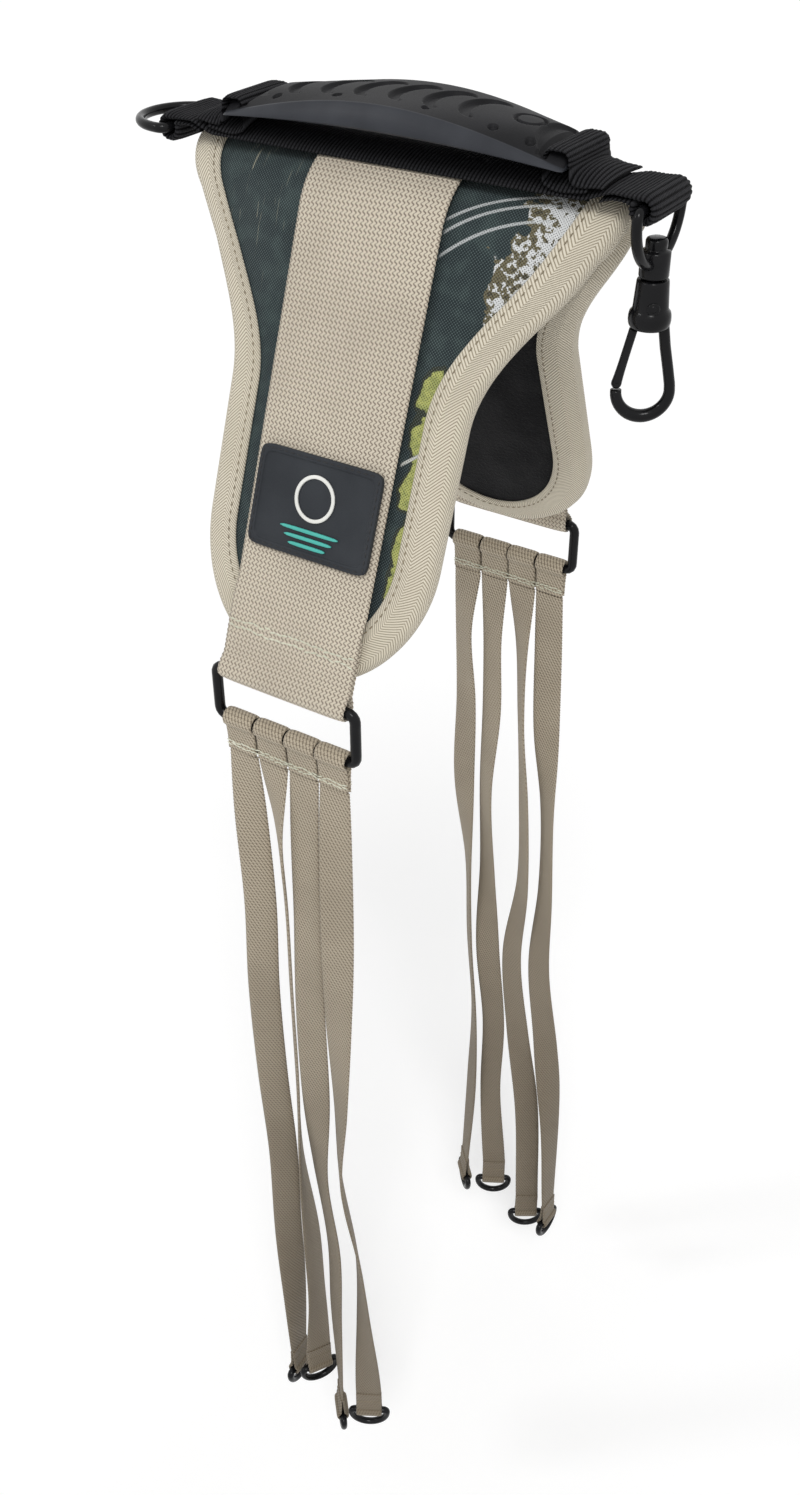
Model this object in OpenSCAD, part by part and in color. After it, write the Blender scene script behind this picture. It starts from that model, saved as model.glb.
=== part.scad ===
// Game carrier: a padded saddle hung from a moulded grip, with four tie strands at the front and four at the back.
// Millimetres, +Z up, X along the grip, -Y to the front. The origin is the middle of the grip.

/* [Grip] */
// Length of the moulded grip
grip_len = 118; // [112:1:142]
// Width across the middle of the grip
grip_mid_w = 38; // [32:1:46]
// Width across each end of the grip
grip_end_w = 29; // [28:0.5:36]
// Thickness of the grip
grip_t = 9; // [7.5:0.5:11]
// How far the ends drop below the middle
grip_arch = 3.5; // [2:0.5:5]

/* [Black webbing] */
// Width of the black webbing
black_w = 25.4; // [22:0.1:26]
// Thickness of the black webbing
black_t = 1.5; // [1.2:0.1:1.8]
// Distance from the middle to each D ring loop
loop_x = 83; // [82:0.5:100]

/* [Main strap] */
// Width of the main strap
web_w = 50.8; // [42:0.1:60]
// Thickness of the main strap
web_t = 1.4; // [1:0.1:1.8]

/* [Pad] */
// Width of the pad at the top
pad_top_w = 150; // [124:1:150]
// Width of the pad below the waist
pad_low_w = 84; // [76:1:100]
// Length of the pad from the ridge to each end, along its face
pad_half = 167.5; // [138:0.5:205]
// Radius of the fold over the top
ridge_r = 21; // [18:0.5:26]
// Angle that each panel leans away from upright
lean = 21; // [16:1:26]
// Thickness of the printed cover
cover_t = 1.2; // [0.8:0.1:1.6]
// Thickness of the foam
foam_t = 5.6; // [4:0.1:8]
// Thickness of the lining
lining_t = 1.2; // [0.8:0.1:1.6]
// Width of binding tape seen on each face
tape_w = 11; // [8:0.5:14]

/* [Label] */
// Width of the label
label_w = 46; // [38:0.5:48]
// Height of the label
label_h = 32.4; // [26:0.2:38]
// Thickness of the label
label_t = 1.8; // [1.2:0.1:2.4]
// Distance along the panel from the ridge to the middle of the label
label_at = 113; // [92:1:125]

/* [Rings] */
// Wire diameter of the two D rings at the grip ends
dee_wire = 3.2; // [2.6:0.1:3.6]
// Inside width of the two D rings at the grip ends
dee_in = 26; // [25.6:0.1:30]
// Wire diameter of the rectangular rings
bar_wire = 3.7; // [3:0.1:4]
// Distance between the bars of a rectangular ring
bar_gap = 19.5; // [17:0.5:26]
// Wire diameter of the small rings
end_wire = 3.2; // [2.6:0.1:3.4]
// Inside width of the small rings
end_in = 13.6; // [13.2:0.1:15]

/* [Strands] */
// Width of one strand
strand_w = 12.2; // [10:0.1:12.4]
// Thickness of one strand
strand_t = 1.2; // [0.8:0.1:1.5]
// Length of each sewn end tab
tab_len = 13; // [10:0.5:16]

/* [Snap hook] */
// Wire diameter of the hook loop
hook_wire = 3.3; // [2.8:0.1:3.6]
// Radius of the round end of the hook loop
hook_bow_r = 8; // [7:0.5:10]
// Length from the collar to the centre of the round end
hook_drop = 19.5; // [16:0.5:26]
// Turn of the hook about its swivel
hook_turn = 33; // [0:1:180]

/* [Hidden] */
$fn = 48;
seat_gap = 0.3;                                 // clearance between pieces that only touch
slip = 0.05;                                    // radial clearance of a running fit
wall = 1.4;                                     // webbing wall round a bar
ridge_z = -15;                                  // top of the cover
fold_deg = 90 - lean;                           // angle of the fold over each shoulder
fold_arc = ridge_r * fold_deg * PI / 180;       // length of that fold
end_len = 45;                                   // length of the rounded pad end
body_s = pad_half - end_len;                    // where the rounded end starts
pad_t = cover_t + foam_t + lining_t + 2 * seat_gap;
tape_t = 0.8;
strap_in = seat_gap + tape_t + seat_gap;        // height of the strap's inner face over the cover
strap_mid = strap_in + web_t;                   // middle of the doubled strap
bar_r = bar_wire / 2;
bar_hole = bar_r + seat_gap;
bar_s = pad_half + seat_gap + tape_t + bar_hole + wall + 1;
bar_y = prof_y(bar_s, strap_mid);               // distance of each ring bar from the middle plane
bar_z = prof_z(bar_s, strap_mid);
low_z = bar_z - bar_gap;
head_len = 13;                                  // header length below the lower bar
hinge_z = low_z - head_len - strand_t / 2 - seat_gap;
head_t = 2.6;
ring_half = web_w / 2 + 0.8 + bar_r;            // half distance between the ring's legs
ring_round = 2.8;
lane = web_w / 4;                               // spacing of the strands
dee_r = dee_wire / 2;
dee_half = dee_in / 2 + dee_r;
dee_leg = 3;
loop_z = -15;                                   // height of the D ring loops
loop_hole = dee_r + seat_gap;
loop_r = loop_hole + 2.9;
end_r = end_wire / 2;
end_half = end_in / 2 + end_r;
end_leg = 2;
tab_hole = end_r + seat_gap;
tab_r = tab_hole + 1.2;
tab_t = 2.6;
strap_top = ridge_z + strap_mid + web_t / 2;
cross_in = ridge_r + strap_in + web_t + 0.2;    // inner radius of the cross strap
cross_top = ridge_z - ridge_r + cross_in + black_t;
half_len = grip_len / 2;
slot_w = 3.4;
end_bar = 5.5;
eye_z = loop_z - dee_leg - dee_half;            // height of the wire at the bottom of a hanging D ring
eye_r = 4.4;
eye_half = 3.9;
seam_z = eye_z - eye_half;                      // joint between the eye and the hook body
body_len = 9.4;
collar_len = 5.2;
collar_z = seam_z - body_len - collar_len;      // underside of the collar
wire_r = hook_wire / 2;
stud_r = 2;
leg_x = 4.2;                                    // distance of each leg from the axis at the collar
bow_z = collar_z - hook_drop;
gate_z = bow_z + 2.4;
gate_deg = atan((hook_bow_r - leg_x) / (collar_z - gate_z));

// One strand a row: along X, Y, Z from the hinge, then the turn of the ribbon. Front rows first.
routes = [
  [[-19, 0, 0, 0], [-17.5, -1, -25, 20], [-15.5, -2, -65, 25], [-17, -2, -110, 30], [-17, -1, -160, 33],
   [-15.5, 0, -210, 33], [-16, 0, -260, 35], [-16, 1, -310, 65], [-16, 1, -358, 92]],
  [[-6.4, 0, 0, 0], [-5.5, -1, -25, -40], [-5, 0, -65, -50], [-6, 1, -110, -50], [-6, 1, -160, -50],
   [-6, 0, -210, -60], [-3, 0, -260, -88], [-3, 1, -310, -95], [-4, 1, -350, -122]],
  [[6.4, 0, 0, 0], [6, -1, -25, 0], [6, -2, -65, 2], [5, -2, -110, 12], [4.5, -1, -160, 12],
   [4, 0, -210, -25], [9, 0, -260, -28], [8.5, 0, -310, -32], [9, 0, -374, -48]],
  [[19, 0, 0, 0], [19, -1, -25, 15], [19, -2, -65, 25], [18, -2, -110, 0], [16.5, -1, -160, -30],
   [14.5, 0, -210, -52], [22, 0, -260, -45], [23.5, 1, -310, -20], [24, 2, -366, 30]],
  [[-19, 0, 0, 0], [-21, 1, -25, -25], [-19.5, 2, -65, -16], [-20, 3, -110, -10], [-16.5, 3, -160, -48],
   [-15, 4, -210, -50], [-11, 4, -260, -50], [-11.5, 5, -310, -40], [-14.5, 6, -378, -46]],
  [[-6.4, 0, 0, 0], [-7, 1, -25, -20], [-6.5, 2, -65, -20], [-8, 2, -110, -35], [-6, 3, -160, -25],
   [-4, 3, -210, 10], [0.5, 4, -260, 5], [0, 5, -310, 0], [4, 6, -372, 30]],
  [[6.4, 0, 0, 0], [7, 1, -25, -35], [8, 2, -65, -50], [11, 3, -110, -43], [13, 3, -160, -38],
   [9, 4, -210, -13], [14, 5, -260, 5], [21, 6, -310, 28], [25, 7, -388, 33]],
  [[19, 0, 0, 0], [19.5, 1, -25, 5], [20.5, 2, -65, 5], [23, 3, -110, -33], [25, 3, -160, -31],
   [24, 4, -210, -5], [30, 5, -260, 15], [35, 6, -310, 60], [38, 7, -384, 88]]];

// ---- The saddle's face: s runs from the ridge (0) down the back panel (+) or the front panel (-), h is height
function turn_at(s) = min(abs(s) / ridge_r * 180 / PI, fold_deg);
function flat_at(s) = max(0, abs(s) - fold_arc);
function prof_y(s, h) = (s < 0 ? -1 : 1)
  * ((ridge_r + h) * sin(turn_at(s)) + flat_at(s) * cos(fold_deg));
function prof_z(s, h) = ridge_z - ridge_r + (ridge_r + h) * cos(turn_at(s)) - flat_at(s) * sin(fold_deg);

// Half width of the pad: full over the ridge, drawn in along each shoulder, then straight to the rounded end
function ease(t) = (1 + cos(180 * min(1, max(0, t)))) / 2;
function half_w(s) = (pad_low_w + (pad_top_w - pad_low_w) * ease((abs(s) - 4) / 76)) / 2;

// Foam thins under the tape, and the wings curl in beyond the strap
function thin(d) = 1 - 0.4 * exp(-max(0, d) / 7);
function curl(x, s) = 6 * pow(max(0, abs(x) - web_w / 2 - 1) / 34, 2) * min(1, abs(s) / 40);

fold_n = 5;
side_n = 9;
end_n = 6;
rows = concat([for (i = [0:fold_n - 1]) i * fold_arc / fold_n],
  [for (i = [0:side_n]) fold_arc + i * (body_s - fold_arc) / side_n]);
last = len(rows) - 1;
function edge_s(k, d) = k <= last ? rows[k] : body_s + (end_len - d) * sin((k - last) * 90 / end_n);
function edge_x(k, d) = k <= last ? half_w(rows[k]) - d : (pad_low_w / 2 - d) * cos((k - last) * 90 / end_n);

// A point on the pad: depth h below the face, at x and s, d inside the edge
function pad_at(x, s, h, d) = let (g = -(h > 0 ? h * thin(d) : h) - curl(x, s))
  [x, prof_y(s, g), prof_z(s, g)];

// Paired: both broad faces are split along the same diagonals, so a thin twisted ribbon keeps its thickness
module closed_loft(rings, paired = false) {
  m = len(rings[0]);
  n = len(rings);
  polyhedron([for (r = rings) each r], concat([[for (j = [m - 1:-1:0]) j], [for (j = [0:m - 1]) (n - 1) * m + j]],
    [for (i = [0:n - 2], j = [0:m - 1]) let (a = i * m + j, b = i * m + (j + 1) % m, c = a + m, d = b + m)
      each paired && j >= m / 2 ? [[a, b, c], [b, d, c]] : [[a, b, d], [a, d, c]]]), convexity = 10);
}

module ring_loft(rings) {
  m = len(rings[0]);
  n = len(rings);
  polyhedron([for (r = rings) each r], [for (i = [0:n - 1], j = [0:m - 1]) let (k = (j + 1) % m, q = (i + 1) % n)
    each [[i * m + j, i * m + k, q * m + k], [i * m + j, q * m + k, q * m + j]]], convexity = 10);
}

across = [-1, -0.86, -0.66, -0.34, 0, 0.34, 0.66, 0.86, 1];

module pad_layer(h0, h1, inset) {
  top = last + end_n - 1;
  closed_loft([for (q = [-top:top]) let (k = abs(q), g = q < 0 ? -1 : 1, w = edge_x(k, inset), s = g * edge_s(k, inset))
    concat([for (v = across) pad_at(v * w, s, h0, w * (1 - abs(v)))],
      [for (i = [len(across) - 1:-1:0]) pad_at(across[i] * w, s, h1, w * (1 - abs(across[i])))])]);
}

tape_out = -seat_gap - tape_t;
tape_in = pad_t + seat_gap + tape_t;
tape_section = [[tape_w, tape_out], [tape_w, -seat_gap], [-seat_gap, -seat_gap], [-seat_gap, pad_t + seat_gap + 0.5],
  [tape_w, pad_t + seat_gap + 0.5], [tape_w, tape_in + 0.5], [0.2 - tape_t, tape_in], [-seat_gap - tape_t, pad_t * 0.7],
  [-seat_gap - tape_t, 0.4], [0.2 - tape_t, tape_out]];

module edge_binding() color("wheat") {
  top = last + end_n;
  lap = 4 * top;
  ring_loft([for (i = [0:lap - 1]) let (a = i < 2 * top ? i - top : 3 * top - i, side = i < 2 * top ? 1 : -1,
      k = abs(a), g = a < 0 ? -1 : 1)
    [for (j = [len(tape_section) - 1:-1:0]) let (p = tape_section[j], x = side * edge_x(k, p[0]))
      pad_at(x, g * edge_s(k, p[0]), p[1], p[0])]]);
}

module outer_cover() color("darkslategray") pad_layer(0.02, cover_t, 0);
module foam_core() color("gainsboro") pad_layer(cover_t + seat_gap, cover_t + seat_gap + foam_t, 0.4);
module inner_lining() color([0.08, 0.08, 0.08]) pad_layer(pad_t - lining_t, pad_t, 0);

// ---- Main strap: runs over the saddle, round each upper bar, and back up to the cross stitch
lap_len = 18;
function strap_h(s) = strap_in + web_t * (1 + ease((pad_half - lap_len - abs(s)) / 5 + 1));
strap_s = concat([for (i = [-10:10]) i * fold_arc / 10], [fold_arc + 30, fold_arc + 60, fold_arc + 90,
  pad_half - lap_len - 6, pad_half - lap_len - 3, pad_half - lap_len, bar_s]);
strap_pts = concat([for (i = [len(strap_s) - 1:-1:21]) -strap_s[i]], strap_s);

module strap_line() {
  outer = [for (s = strap_pts) [prof_y(s, strap_h(s)), prof_z(s, strap_h(s))]];
  inner = [for (i = [len(strap_pts) - 1:-1:0]) let (s = strap_pts[i]) [prof_y(s, strap_in), prof_z(s, strap_in)]];
  polygon(concat(outer, inner));
}

// A piece drawn in the Y-Z plane and given its width along X
module wide(w) rotate([90, 0, 90]) translate([0, 0, -w / 2]) linear_extrude(w) children();

module along_x(r, w) rotate([0, 90, 0]) cylinder(r = r, h = w, center = true);

module main_webbing() color("tan") difference() {
  union() {
    wide(web_w) strap_line();
    for (g = [-1, 1]) translate([0, g * bar_y, bar_z]) along_x(bar_hole + wall, web_w);
  }
  for (g = [-1, 1]) translate([0, g * bar_y, bar_z]) along_x(bar_hole, web_w + 2);
}

// ---- Black webbing: the cross strap lies over the ridge and ends in a loop for each D ring
module cross_strap() color([0.1, 0.1, 0.1]) {
  span = asin(black_w / 2 / (cross_in + black_t));
  reach = pad_top_w / 2 - 1;
  translate([0, 0, ridge_z - ridge_r]) intersection() {
    difference() {
      along_x(cross_in + black_t, 2 * reach);
      along_x(cross_in, 2 * reach + 2);
    }
    wide(2 * reach) polygon([[0, 0], [-60 * sin(span), 60 * cos(span)], [60 * sin(span), 60 * cos(span)]]);
  }
  for (g = [-1, 1]) difference() {
    union() {
      translate([g * (reach + loop_x) / 2, 0, cross_top - 1.2])
        cube([loop_x - reach + 4, black_w, black_t], center = true);
      translate([g * loop_x, 0, loop_z]) rotate([90, 0, 0]) cylinder(r = loop_r, h = black_w, center = true);
    }
    translate([g * loop_x, 0, loop_z]) rotate([90, 0, 0]) cylinder(r = loop_hole, h = black_w + 2, center = true);
  }
}

grip_drop = grip_arch * pow((half_len - end_bar / 2) / half_len, 2);
bar_low = -grip_t / 2 - grip_drop - 0.4;
bar_high = grip_t / 2 - grip_drop - seat_gap - black_t;   // the webbing over the end bar lies level with the grip

module handle_loops() color([0.1, 0.1, 0.1]) for (g = [-1, 1]) scale([g, 1, 1]) {
  low = bar_low - seat_gap - black_t;
  high = bar_high + seat_gap;
  inner = half_len - end_bar - seat_gap - black_t;
  outer = half_len + seat_gap;
  translate([inner, -black_w / 2, low]) cube([black_t, black_w, high - low + black_t]);
  translate([outer, -black_w / 2, low]) cube([black_t, black_w, high - low + black_t]);
  translate([inner, -black_w / 2, high]) cube([outer - inner + black_t, black_w, black_t]);
  translate([inner, -black_w / 2, low]) cube([outer - inner + 9, black_w, black_t]);
}

// ---- Grip: a shallow arch, wider in the middle, with slanted sides and a slot near each end
function grip_half(x) = (grip_end_w + (grip_mid_w - grip_end_w) * (1 - pow(x / half_len, 2))) / 2;
function grip_low(x) = -grip_t / 2 - grip_arch * pow(x / half_len, 2);

module grip_handle() color([0.16, 0.17, 0.18]) difference() {
  closed_loft([for (i = [0:20]) let (x = half_len * (i / 10 - 1), w = grip_half(x), z = grip_low(x))
    [for (p = [[-w + 3, 0], [-w, 1.4], [-w + 1, 4.4], [-w + 4.5, grip_t - 1], [-w / 2, grip_t - 0.3], [0, grip_t],
      [w / 2, grip_t - 0.3], [w - 4.5, grip_t - 1], [w - 1, 4.4], [w, 1.4], [w - 3, 0]]) [x, p[0], z + p[1]]]]);
  for (g = [-1, 1]) translate([g * (half_len - end_bar - slot_w / 2), 0, 0])
    cube([slot_w, black_w + 0.8, 40], center = true);
  for (g = [-1, 1]) translate([g * (half_len + 10 - end_bar - slot_w / 2), 0, bar_high + 10])
    cube([20, black_w + 0.8, 20], center = true);
}

// ---- Label on the front panel
module on_front(s, h) translate([0, prof_y(-s, h), prof_z(-s, h)]) rotate([fold_deg, 0, 0]) children();

label_h0 = strap_in + web_t + 0.05;

module label_patch() color([0.16, 0.17, 0.18]) on_front(label_at, label_h0) {
  difference() {
    translate([-label_w / 2, -label_h / 2, 0]) cube([label_w, label_h, label_t]);
    translate([-label_w / 2 + 2, -label_h / 2 + 2, label_t - 0.5]) cube([label_w - 4, label_h - 4, 1]);
  }
}

module label_ring() color("white") on_front(label_at, label_h0 + label_t - 0.45) translate([0, 3, 0]) difference() {
  cylinder(r = 7.5, h = 0.6);
  translate([0, 0, -1]) cylinder(r = 6.3, h = 3);
}

module label_bars() color("teal") on_front(label_at, label_h0 + label_t - 0.45) {
  for (i = [0:2]) translate([-11 + 2 * i, -8.2 - 2.4 * i, 0]) cube([22 - 4 * i, 1.2, 0.6]);
}

// ---- Rings made of round wire
module rod(a, b, r) {
  d = b - a;
  translate(a) rotate([0, acos(d[2] / norm(d)), atan2(d[1], d[0])]) cylinder(r = r, h = norm(d));
}

// A D of wire: flat bar along X through the origin, bow hanging down
module dee(half, leg, r) {
  rod([-half, 0, 0], [half, 0, 0], r);
  for (g = [-1, 1]) {
    translate([g * half, 0, 0]) sphere(r = r);
    rod([g * half, 0, 0], [g * half, 0, -leg], r);
  }
  translate([0, 0, -leg]) rotate([90, 180, 0]) rotate_extrude(angle = 180) translate([half, 0]) circle(r = r);
}

module left_d_ring() color([0.07, 0.07, 0.07])
  translate([-loop_x, 0, loop_z]) rotate([0, 90, 0]) rotate([0, 0, 90]) dee(dee_half, dee_leg, dee_r);
module right_d_ring() color([0.07, 0.07, 0.07])
  translate([loop_x, 0, loop_z]) rotate([0, 0, 90]) dee(dee_half, dee_leg, dee_r);

module box_ring() color([0.07, 0.07, 0.07]) {
  x = ring_half - ring_round;
  for (z = [0, -bar_gap]) rod([-x, 0, z], [x, 0, z], bar_r);
  for (g = [-1, 1]) rod([g * ring_half, 0, -bar_gap + ring_round], [g * ring_half, 0, -ring_round], bar_r);
  for (q = [[x, -ring_round, 0], [-x, -ring_round, 90], [-x, -bar_gap + ring_round, 180],
      [x, -bar_gap + ring_round, 270]]) translate([q[0], 0, q[1]]) rotate([90, 0, 0]) rotate([0, 0, q[2]])
    rotate_extrude(angle = 90) translate([ring_round, 0]) circle(r = bar_r);
}

module front_ring() translate([0, -bar_y, bar_z]) box_ring();
module back_ring() translate([0, bar_y, bar_z]) box_ring();

// ---- Header: four strand ends side by side, each folded round the lower bar
module header() color([0.62, 0.54, 0.42]) for (i = [-1.5, -0.5, 0.5, 1.5]) translate([i * lane, 0, 0]) difference() {
  union() {
    along_x(bar_hole + wall, lane - 0.3);
    wide(lane - 0.3) polygon([[-bar_hole - wall, 0], [-head_t / 2 - 0.6, -8], [-head_t / 2, -head_len],
      [head_t / 2, -head_len], [head_t / 2 + 0.6, -8], [bar_hole + wall, 0]]);
  }
  along_x(bar_hole, lane + 2);
}

module front_header() translate([0, -bar_y, low_z]) header();
module back_header() translate([0, bar_y, low_z]) header();

// ---- Strands: a flat ribbon carried along its route, turned about the vertical at each point
function side_of(n) = n < 4 ? -1 : 1;
function place(n, p) = [p[0], side_of(n) * bar_y + p[1], hinge_z + p[2]];
ribbon = [[-1, 0], [-0.85, -0.75], [0, -1], [0.85, -0.75], [1, 0], [0.85, 0.75], [0, 1], [-0.85, 0.75]];

module strand(n) color([0.55, 0.48, 0.38]) {
  closed_loft([for (p = routes[n]) let (c = place(n, p))
    [for (q = ribbon) let (u = q[0] * strand_w / 2, v = q[1] * strand_t / 2)
      [c[0] + u * cos(p[3]) - v * sin(p[3]), c[1] + u * sin(p[3]) + v * cos(p[3]), c[2]]]], paired = true);
}

function tail(n) = routes[n][len(routes[n]) - 1];

module at_tail(n) translate(place(n, tail(n))) rotate([0, 0, tail(n)[3]]) children();

module tab(n) color([0.5, 0.43, 0.34]) at_tail(n) difference() {
  union() {
    translate([-strand_w / 2, -tab_t / 2, -tab_len]) cube([strand_w, tab_t, tab_len]);
    translate([0, 0, -tab_len]) along_x(tab_r, strand_w);
  }
  translate([0, 0, -tab_len]) along_x(tab_hole, strand_w + 2);
}

module end_ring(n) color([0.07, 0.07, 0.07])
  at_tail(n) translate([0, 0, -tab_len]) dee(end_half, end_leg, end_r);

// ---- Snap hook: the eye rides on the right D ring, the body turns below it
module at_hook() translate([loop_x, 0, 0]) rotate([0, 0, hook_turn]) children();

module swivel_eye() color([0.07, 0.07, 0.07]) translate([loop_x, 0, 0]) {
  difference() {
    union() {
      translate([0, 0, eye_z - eye_half]) cylinder(r = eye_r, h = 2 * eye_half);
      translate([0, 0, eye_z + eye_half]) cylinder(r = 3.2, h = 3.6);
    }
    translate([0, 0, eye_z]) rotate([90, 0, 0]) cylinder(r = dee_r + 0.95, h = 20, center = true);
  }
  translate([0, 0, seam_z - 5]) cylinder(r = stud_r, h = 5.5);
}

module hook_body() color([0.07, 0.07, 0.07]) at_hook() {
  difference() {
    union() {
      translate([0, 0, seam_z - seat_gap - body_len]) cylinder(r1 = 5.3, r2 = 4.7, h = body_len);
      translate([0, 0, collar_z]) cylinder(r = 6, h = collar_len);
    }
    translate([0, 0, seam_z - 5.4]) cylinder(r = stud_r + slip, h = 8);
    translate([0, 0, seam_z - 7.6]) rotate([90, 0, 0]) cylinder(r = 1.2, h = 14, center = true);
  }
  rod([leg_x, 0, collar_z + 0.5], [hook_bow_r, 0, bow_z], wire_r);
  translate([0, 0, bow_z]) rotate([90, 180, 0]) rotate_extrude(angle = 180) translate([hook_bow_r, 0]) circle(r = wire_r);
  difference() {
    translate([-hook_bow_r, 0, (bow_z + gate_z) / 2]) cube([2.6, 1, gate_z - bow_z + 0.4], center = true);
    translate([-hook_bow_r, 0, gate_z]) rotate([90, 0, 0]) cylinder(r = 0.6, h = 4, center = true);
  }
}

module hook_rivet() color([0.2, 0.2, 0.2]) at_hook()
  translate([0, 0, seam_z - 7.6]) rotate([90, 0, 0]) cylinder(r = 1.2, h = 11, center = true);

module hook_gate() color([0.07, 0.07, 0.07]) at_hook() translate([-hook_bow_r, 0, gate_z]) difference() {
  union() {
    rotate([90, 0, 0]) cylinder(r = wire_r, h = hook_wire, center = true);
    rotate([0, gate_deg, 0]) cylinder(r = wire_r, h = (collar_z - gate_z - seat_gap) / cos(gate_deg) - wire_r * tan(gate_deg));
  }
  cube([hook_wire + 1, 1.5, 2 * wire_r + 0.8], center = true);
  rotate([90, 0, 0]) cylinder(r = 0.6 + slip, h = 6, center = true);
}

module gate_pin() color([0.3, 0.3, 0.3]) at_hook()
  translate([-hook_bow_r, 0, gate_z]) rotate([90, 0, 0]) cylinder(r = 0.6, h = hook_wire + 0.2, center = true);

grip_handle();
handle_loops();
cross_strap();
outer_cover();
foam_core();
inner_lining();
edge_binding();
main_webbing();
label_patch();
label_ring();
label_bars();
left_d_ring();
right_d_ring();
swivel_eye();
hook_body();
hook_rivet();
hook_gate();
gate_pin();
front_ring();
back_ring();
front_header();
back_header();
for (n = [0:7]) {
  end = str(n < 4 ? "front" : "back");
  number = n % 4 + 1;
  strand(n);
  tab(n);
  end_ring(n);
}
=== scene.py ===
import math
import bmesh
import bpy
import numpy as np
from mathutils import Matrix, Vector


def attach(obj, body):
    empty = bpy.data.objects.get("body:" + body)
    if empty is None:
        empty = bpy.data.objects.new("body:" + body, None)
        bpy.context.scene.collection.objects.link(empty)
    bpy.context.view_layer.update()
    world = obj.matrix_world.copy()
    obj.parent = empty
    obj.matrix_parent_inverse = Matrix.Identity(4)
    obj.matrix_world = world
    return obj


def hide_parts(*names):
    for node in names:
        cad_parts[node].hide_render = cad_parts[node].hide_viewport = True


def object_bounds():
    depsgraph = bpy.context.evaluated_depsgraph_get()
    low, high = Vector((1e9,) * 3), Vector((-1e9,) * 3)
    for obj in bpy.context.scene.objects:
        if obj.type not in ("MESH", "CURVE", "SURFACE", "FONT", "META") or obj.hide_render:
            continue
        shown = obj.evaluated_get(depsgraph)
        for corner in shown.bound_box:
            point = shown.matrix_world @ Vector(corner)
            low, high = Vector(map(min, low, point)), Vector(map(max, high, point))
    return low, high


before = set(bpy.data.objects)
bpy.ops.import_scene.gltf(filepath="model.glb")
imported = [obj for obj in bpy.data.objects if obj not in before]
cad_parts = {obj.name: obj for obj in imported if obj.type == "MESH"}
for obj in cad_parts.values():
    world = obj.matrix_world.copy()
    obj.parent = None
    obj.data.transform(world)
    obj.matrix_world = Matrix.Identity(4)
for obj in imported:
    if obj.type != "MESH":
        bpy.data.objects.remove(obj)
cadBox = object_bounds()
mm = 0.001
scene = bpy.context.scene
scene.view_settings.view_transform = "Standard"


# camera
cameraView = {"azimuth": 33.1, "elevation": 36.4, "roll": -0.3, "distance": 450.7,
              "alongRight": -2.4, "alongUp": -177.7, "aimHeight": -15.0, "lens": 36.12}


def placeCamera(view):
    az, el, roll = (math.radians(view[k]) for k in ("azimuth", "elevation", "roll"))
    back = np.array([math.sin(az) * math.cos(el), -math.cos(az) * math.cos(el), math.sin(el)])
    right = np.array([math.cos(az), math.sin(az), 0.0])
    up = np.cross(back, right)
    side = math.cos(roll) * right + math.sin(roll) * up
    top = -math.sin(roll) * right + math.cos(roll) * up
    place = back * view["distance"] + side * view["alongRight"] + top * view["alongUp"]
    place[2] += view["aimHeight"]
    data = bpy.data.cameras.new("camera")
    data.lens = view["lens"]
    data.sensor_width = 36.0
    data.clip_start = 0.01
    camera = bpy.data.objects.new("camera", data)
    scene.collection.objects.link(camera)
    turn = Matrix((side, top, back)).transposed().to_4x4()
    camera.matrix_world = Matrix.Translation(place * mm) @ turn
    scene.camera = camera


placeCamera(cameraView)
print("camera placed")


# node tools
def calc(tree, operation, *values, clamp=False):
    node = tree.nodes.new("ShaderNodeMath")
    node.operation = operation
    node.use_clamp = clamp
    for socket, value in zip(node.inputs, values):
        if isinstance(value, (int, float)):
            socket.default_value = value
        else:
            tree.links.new(value, socket)
    return node.outputs[0]


def ramp(tree, value, low, high, outLow=0.0, outHigh=1.0):
    node = tree.nodes.new("ShaderNodeMapRange")
    node.interpolation_type = "SMOOTHSTEP"
    for name, item in (("From Min", low), ("From Max", high), ("To Min", outLow), ("To Max", outHigh)):
        node.inputs[name].default_value = item
    tree.links.new(value, node.inputs["Value"])
    return node.outputs["Result"]


def blendColour(tree, factor, first, second):
    node = tree.nodes.new("ShaderNodeMix")
    node.data_type = "RGBA"
    for socket, value in ((node.inputs[0], factor), (node.inputs[6], first), (node.inputs[7], second)):
        if isinstance(value, (int, float)):
            socket.default_value = value
        elif isinstance(value, tuple):
            socket.default_value = (*value, 1.0)
        else:
            tree.links.new(value, socket)
    return node.outputs[2]


def cloud(tree, vector, scale, detail):
    node = tree.nodes.new("ShaderNodeTexNoise")
    node.inputs["Scale"].default_value = scale
    node.inputs["Detail"].default_value = detail
    tree.links.new(vector, node.inputs["Vector"])
    return node.outputs["Fac"]


def newGroup(name, inputs, outputs):
    tree = bpy.data.node_groups.new(name, "ShaderNodeTree")
    for label, kind, value in inputs:
        socket = tree.interface.new_socket(label, in_out="INPUT", socket_type=kind)
        if value is not None:
            socket.default_value = value
    for label, kind in outputs:
        tree.interface.new_socket(label, in_out="OUTPUT", socket_type=kind)
    return tree, tree.nodes.new("NodeGroupInput").outputs, tree.nodes.new("NodeGroupOutput").inputs


def splitVector(tree, vector):
    node = tree.nodes.new("ShaderNodeSeparateXYZ")
    tree.links.new(vector, node.inputs[0])
    return node.outputs


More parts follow.
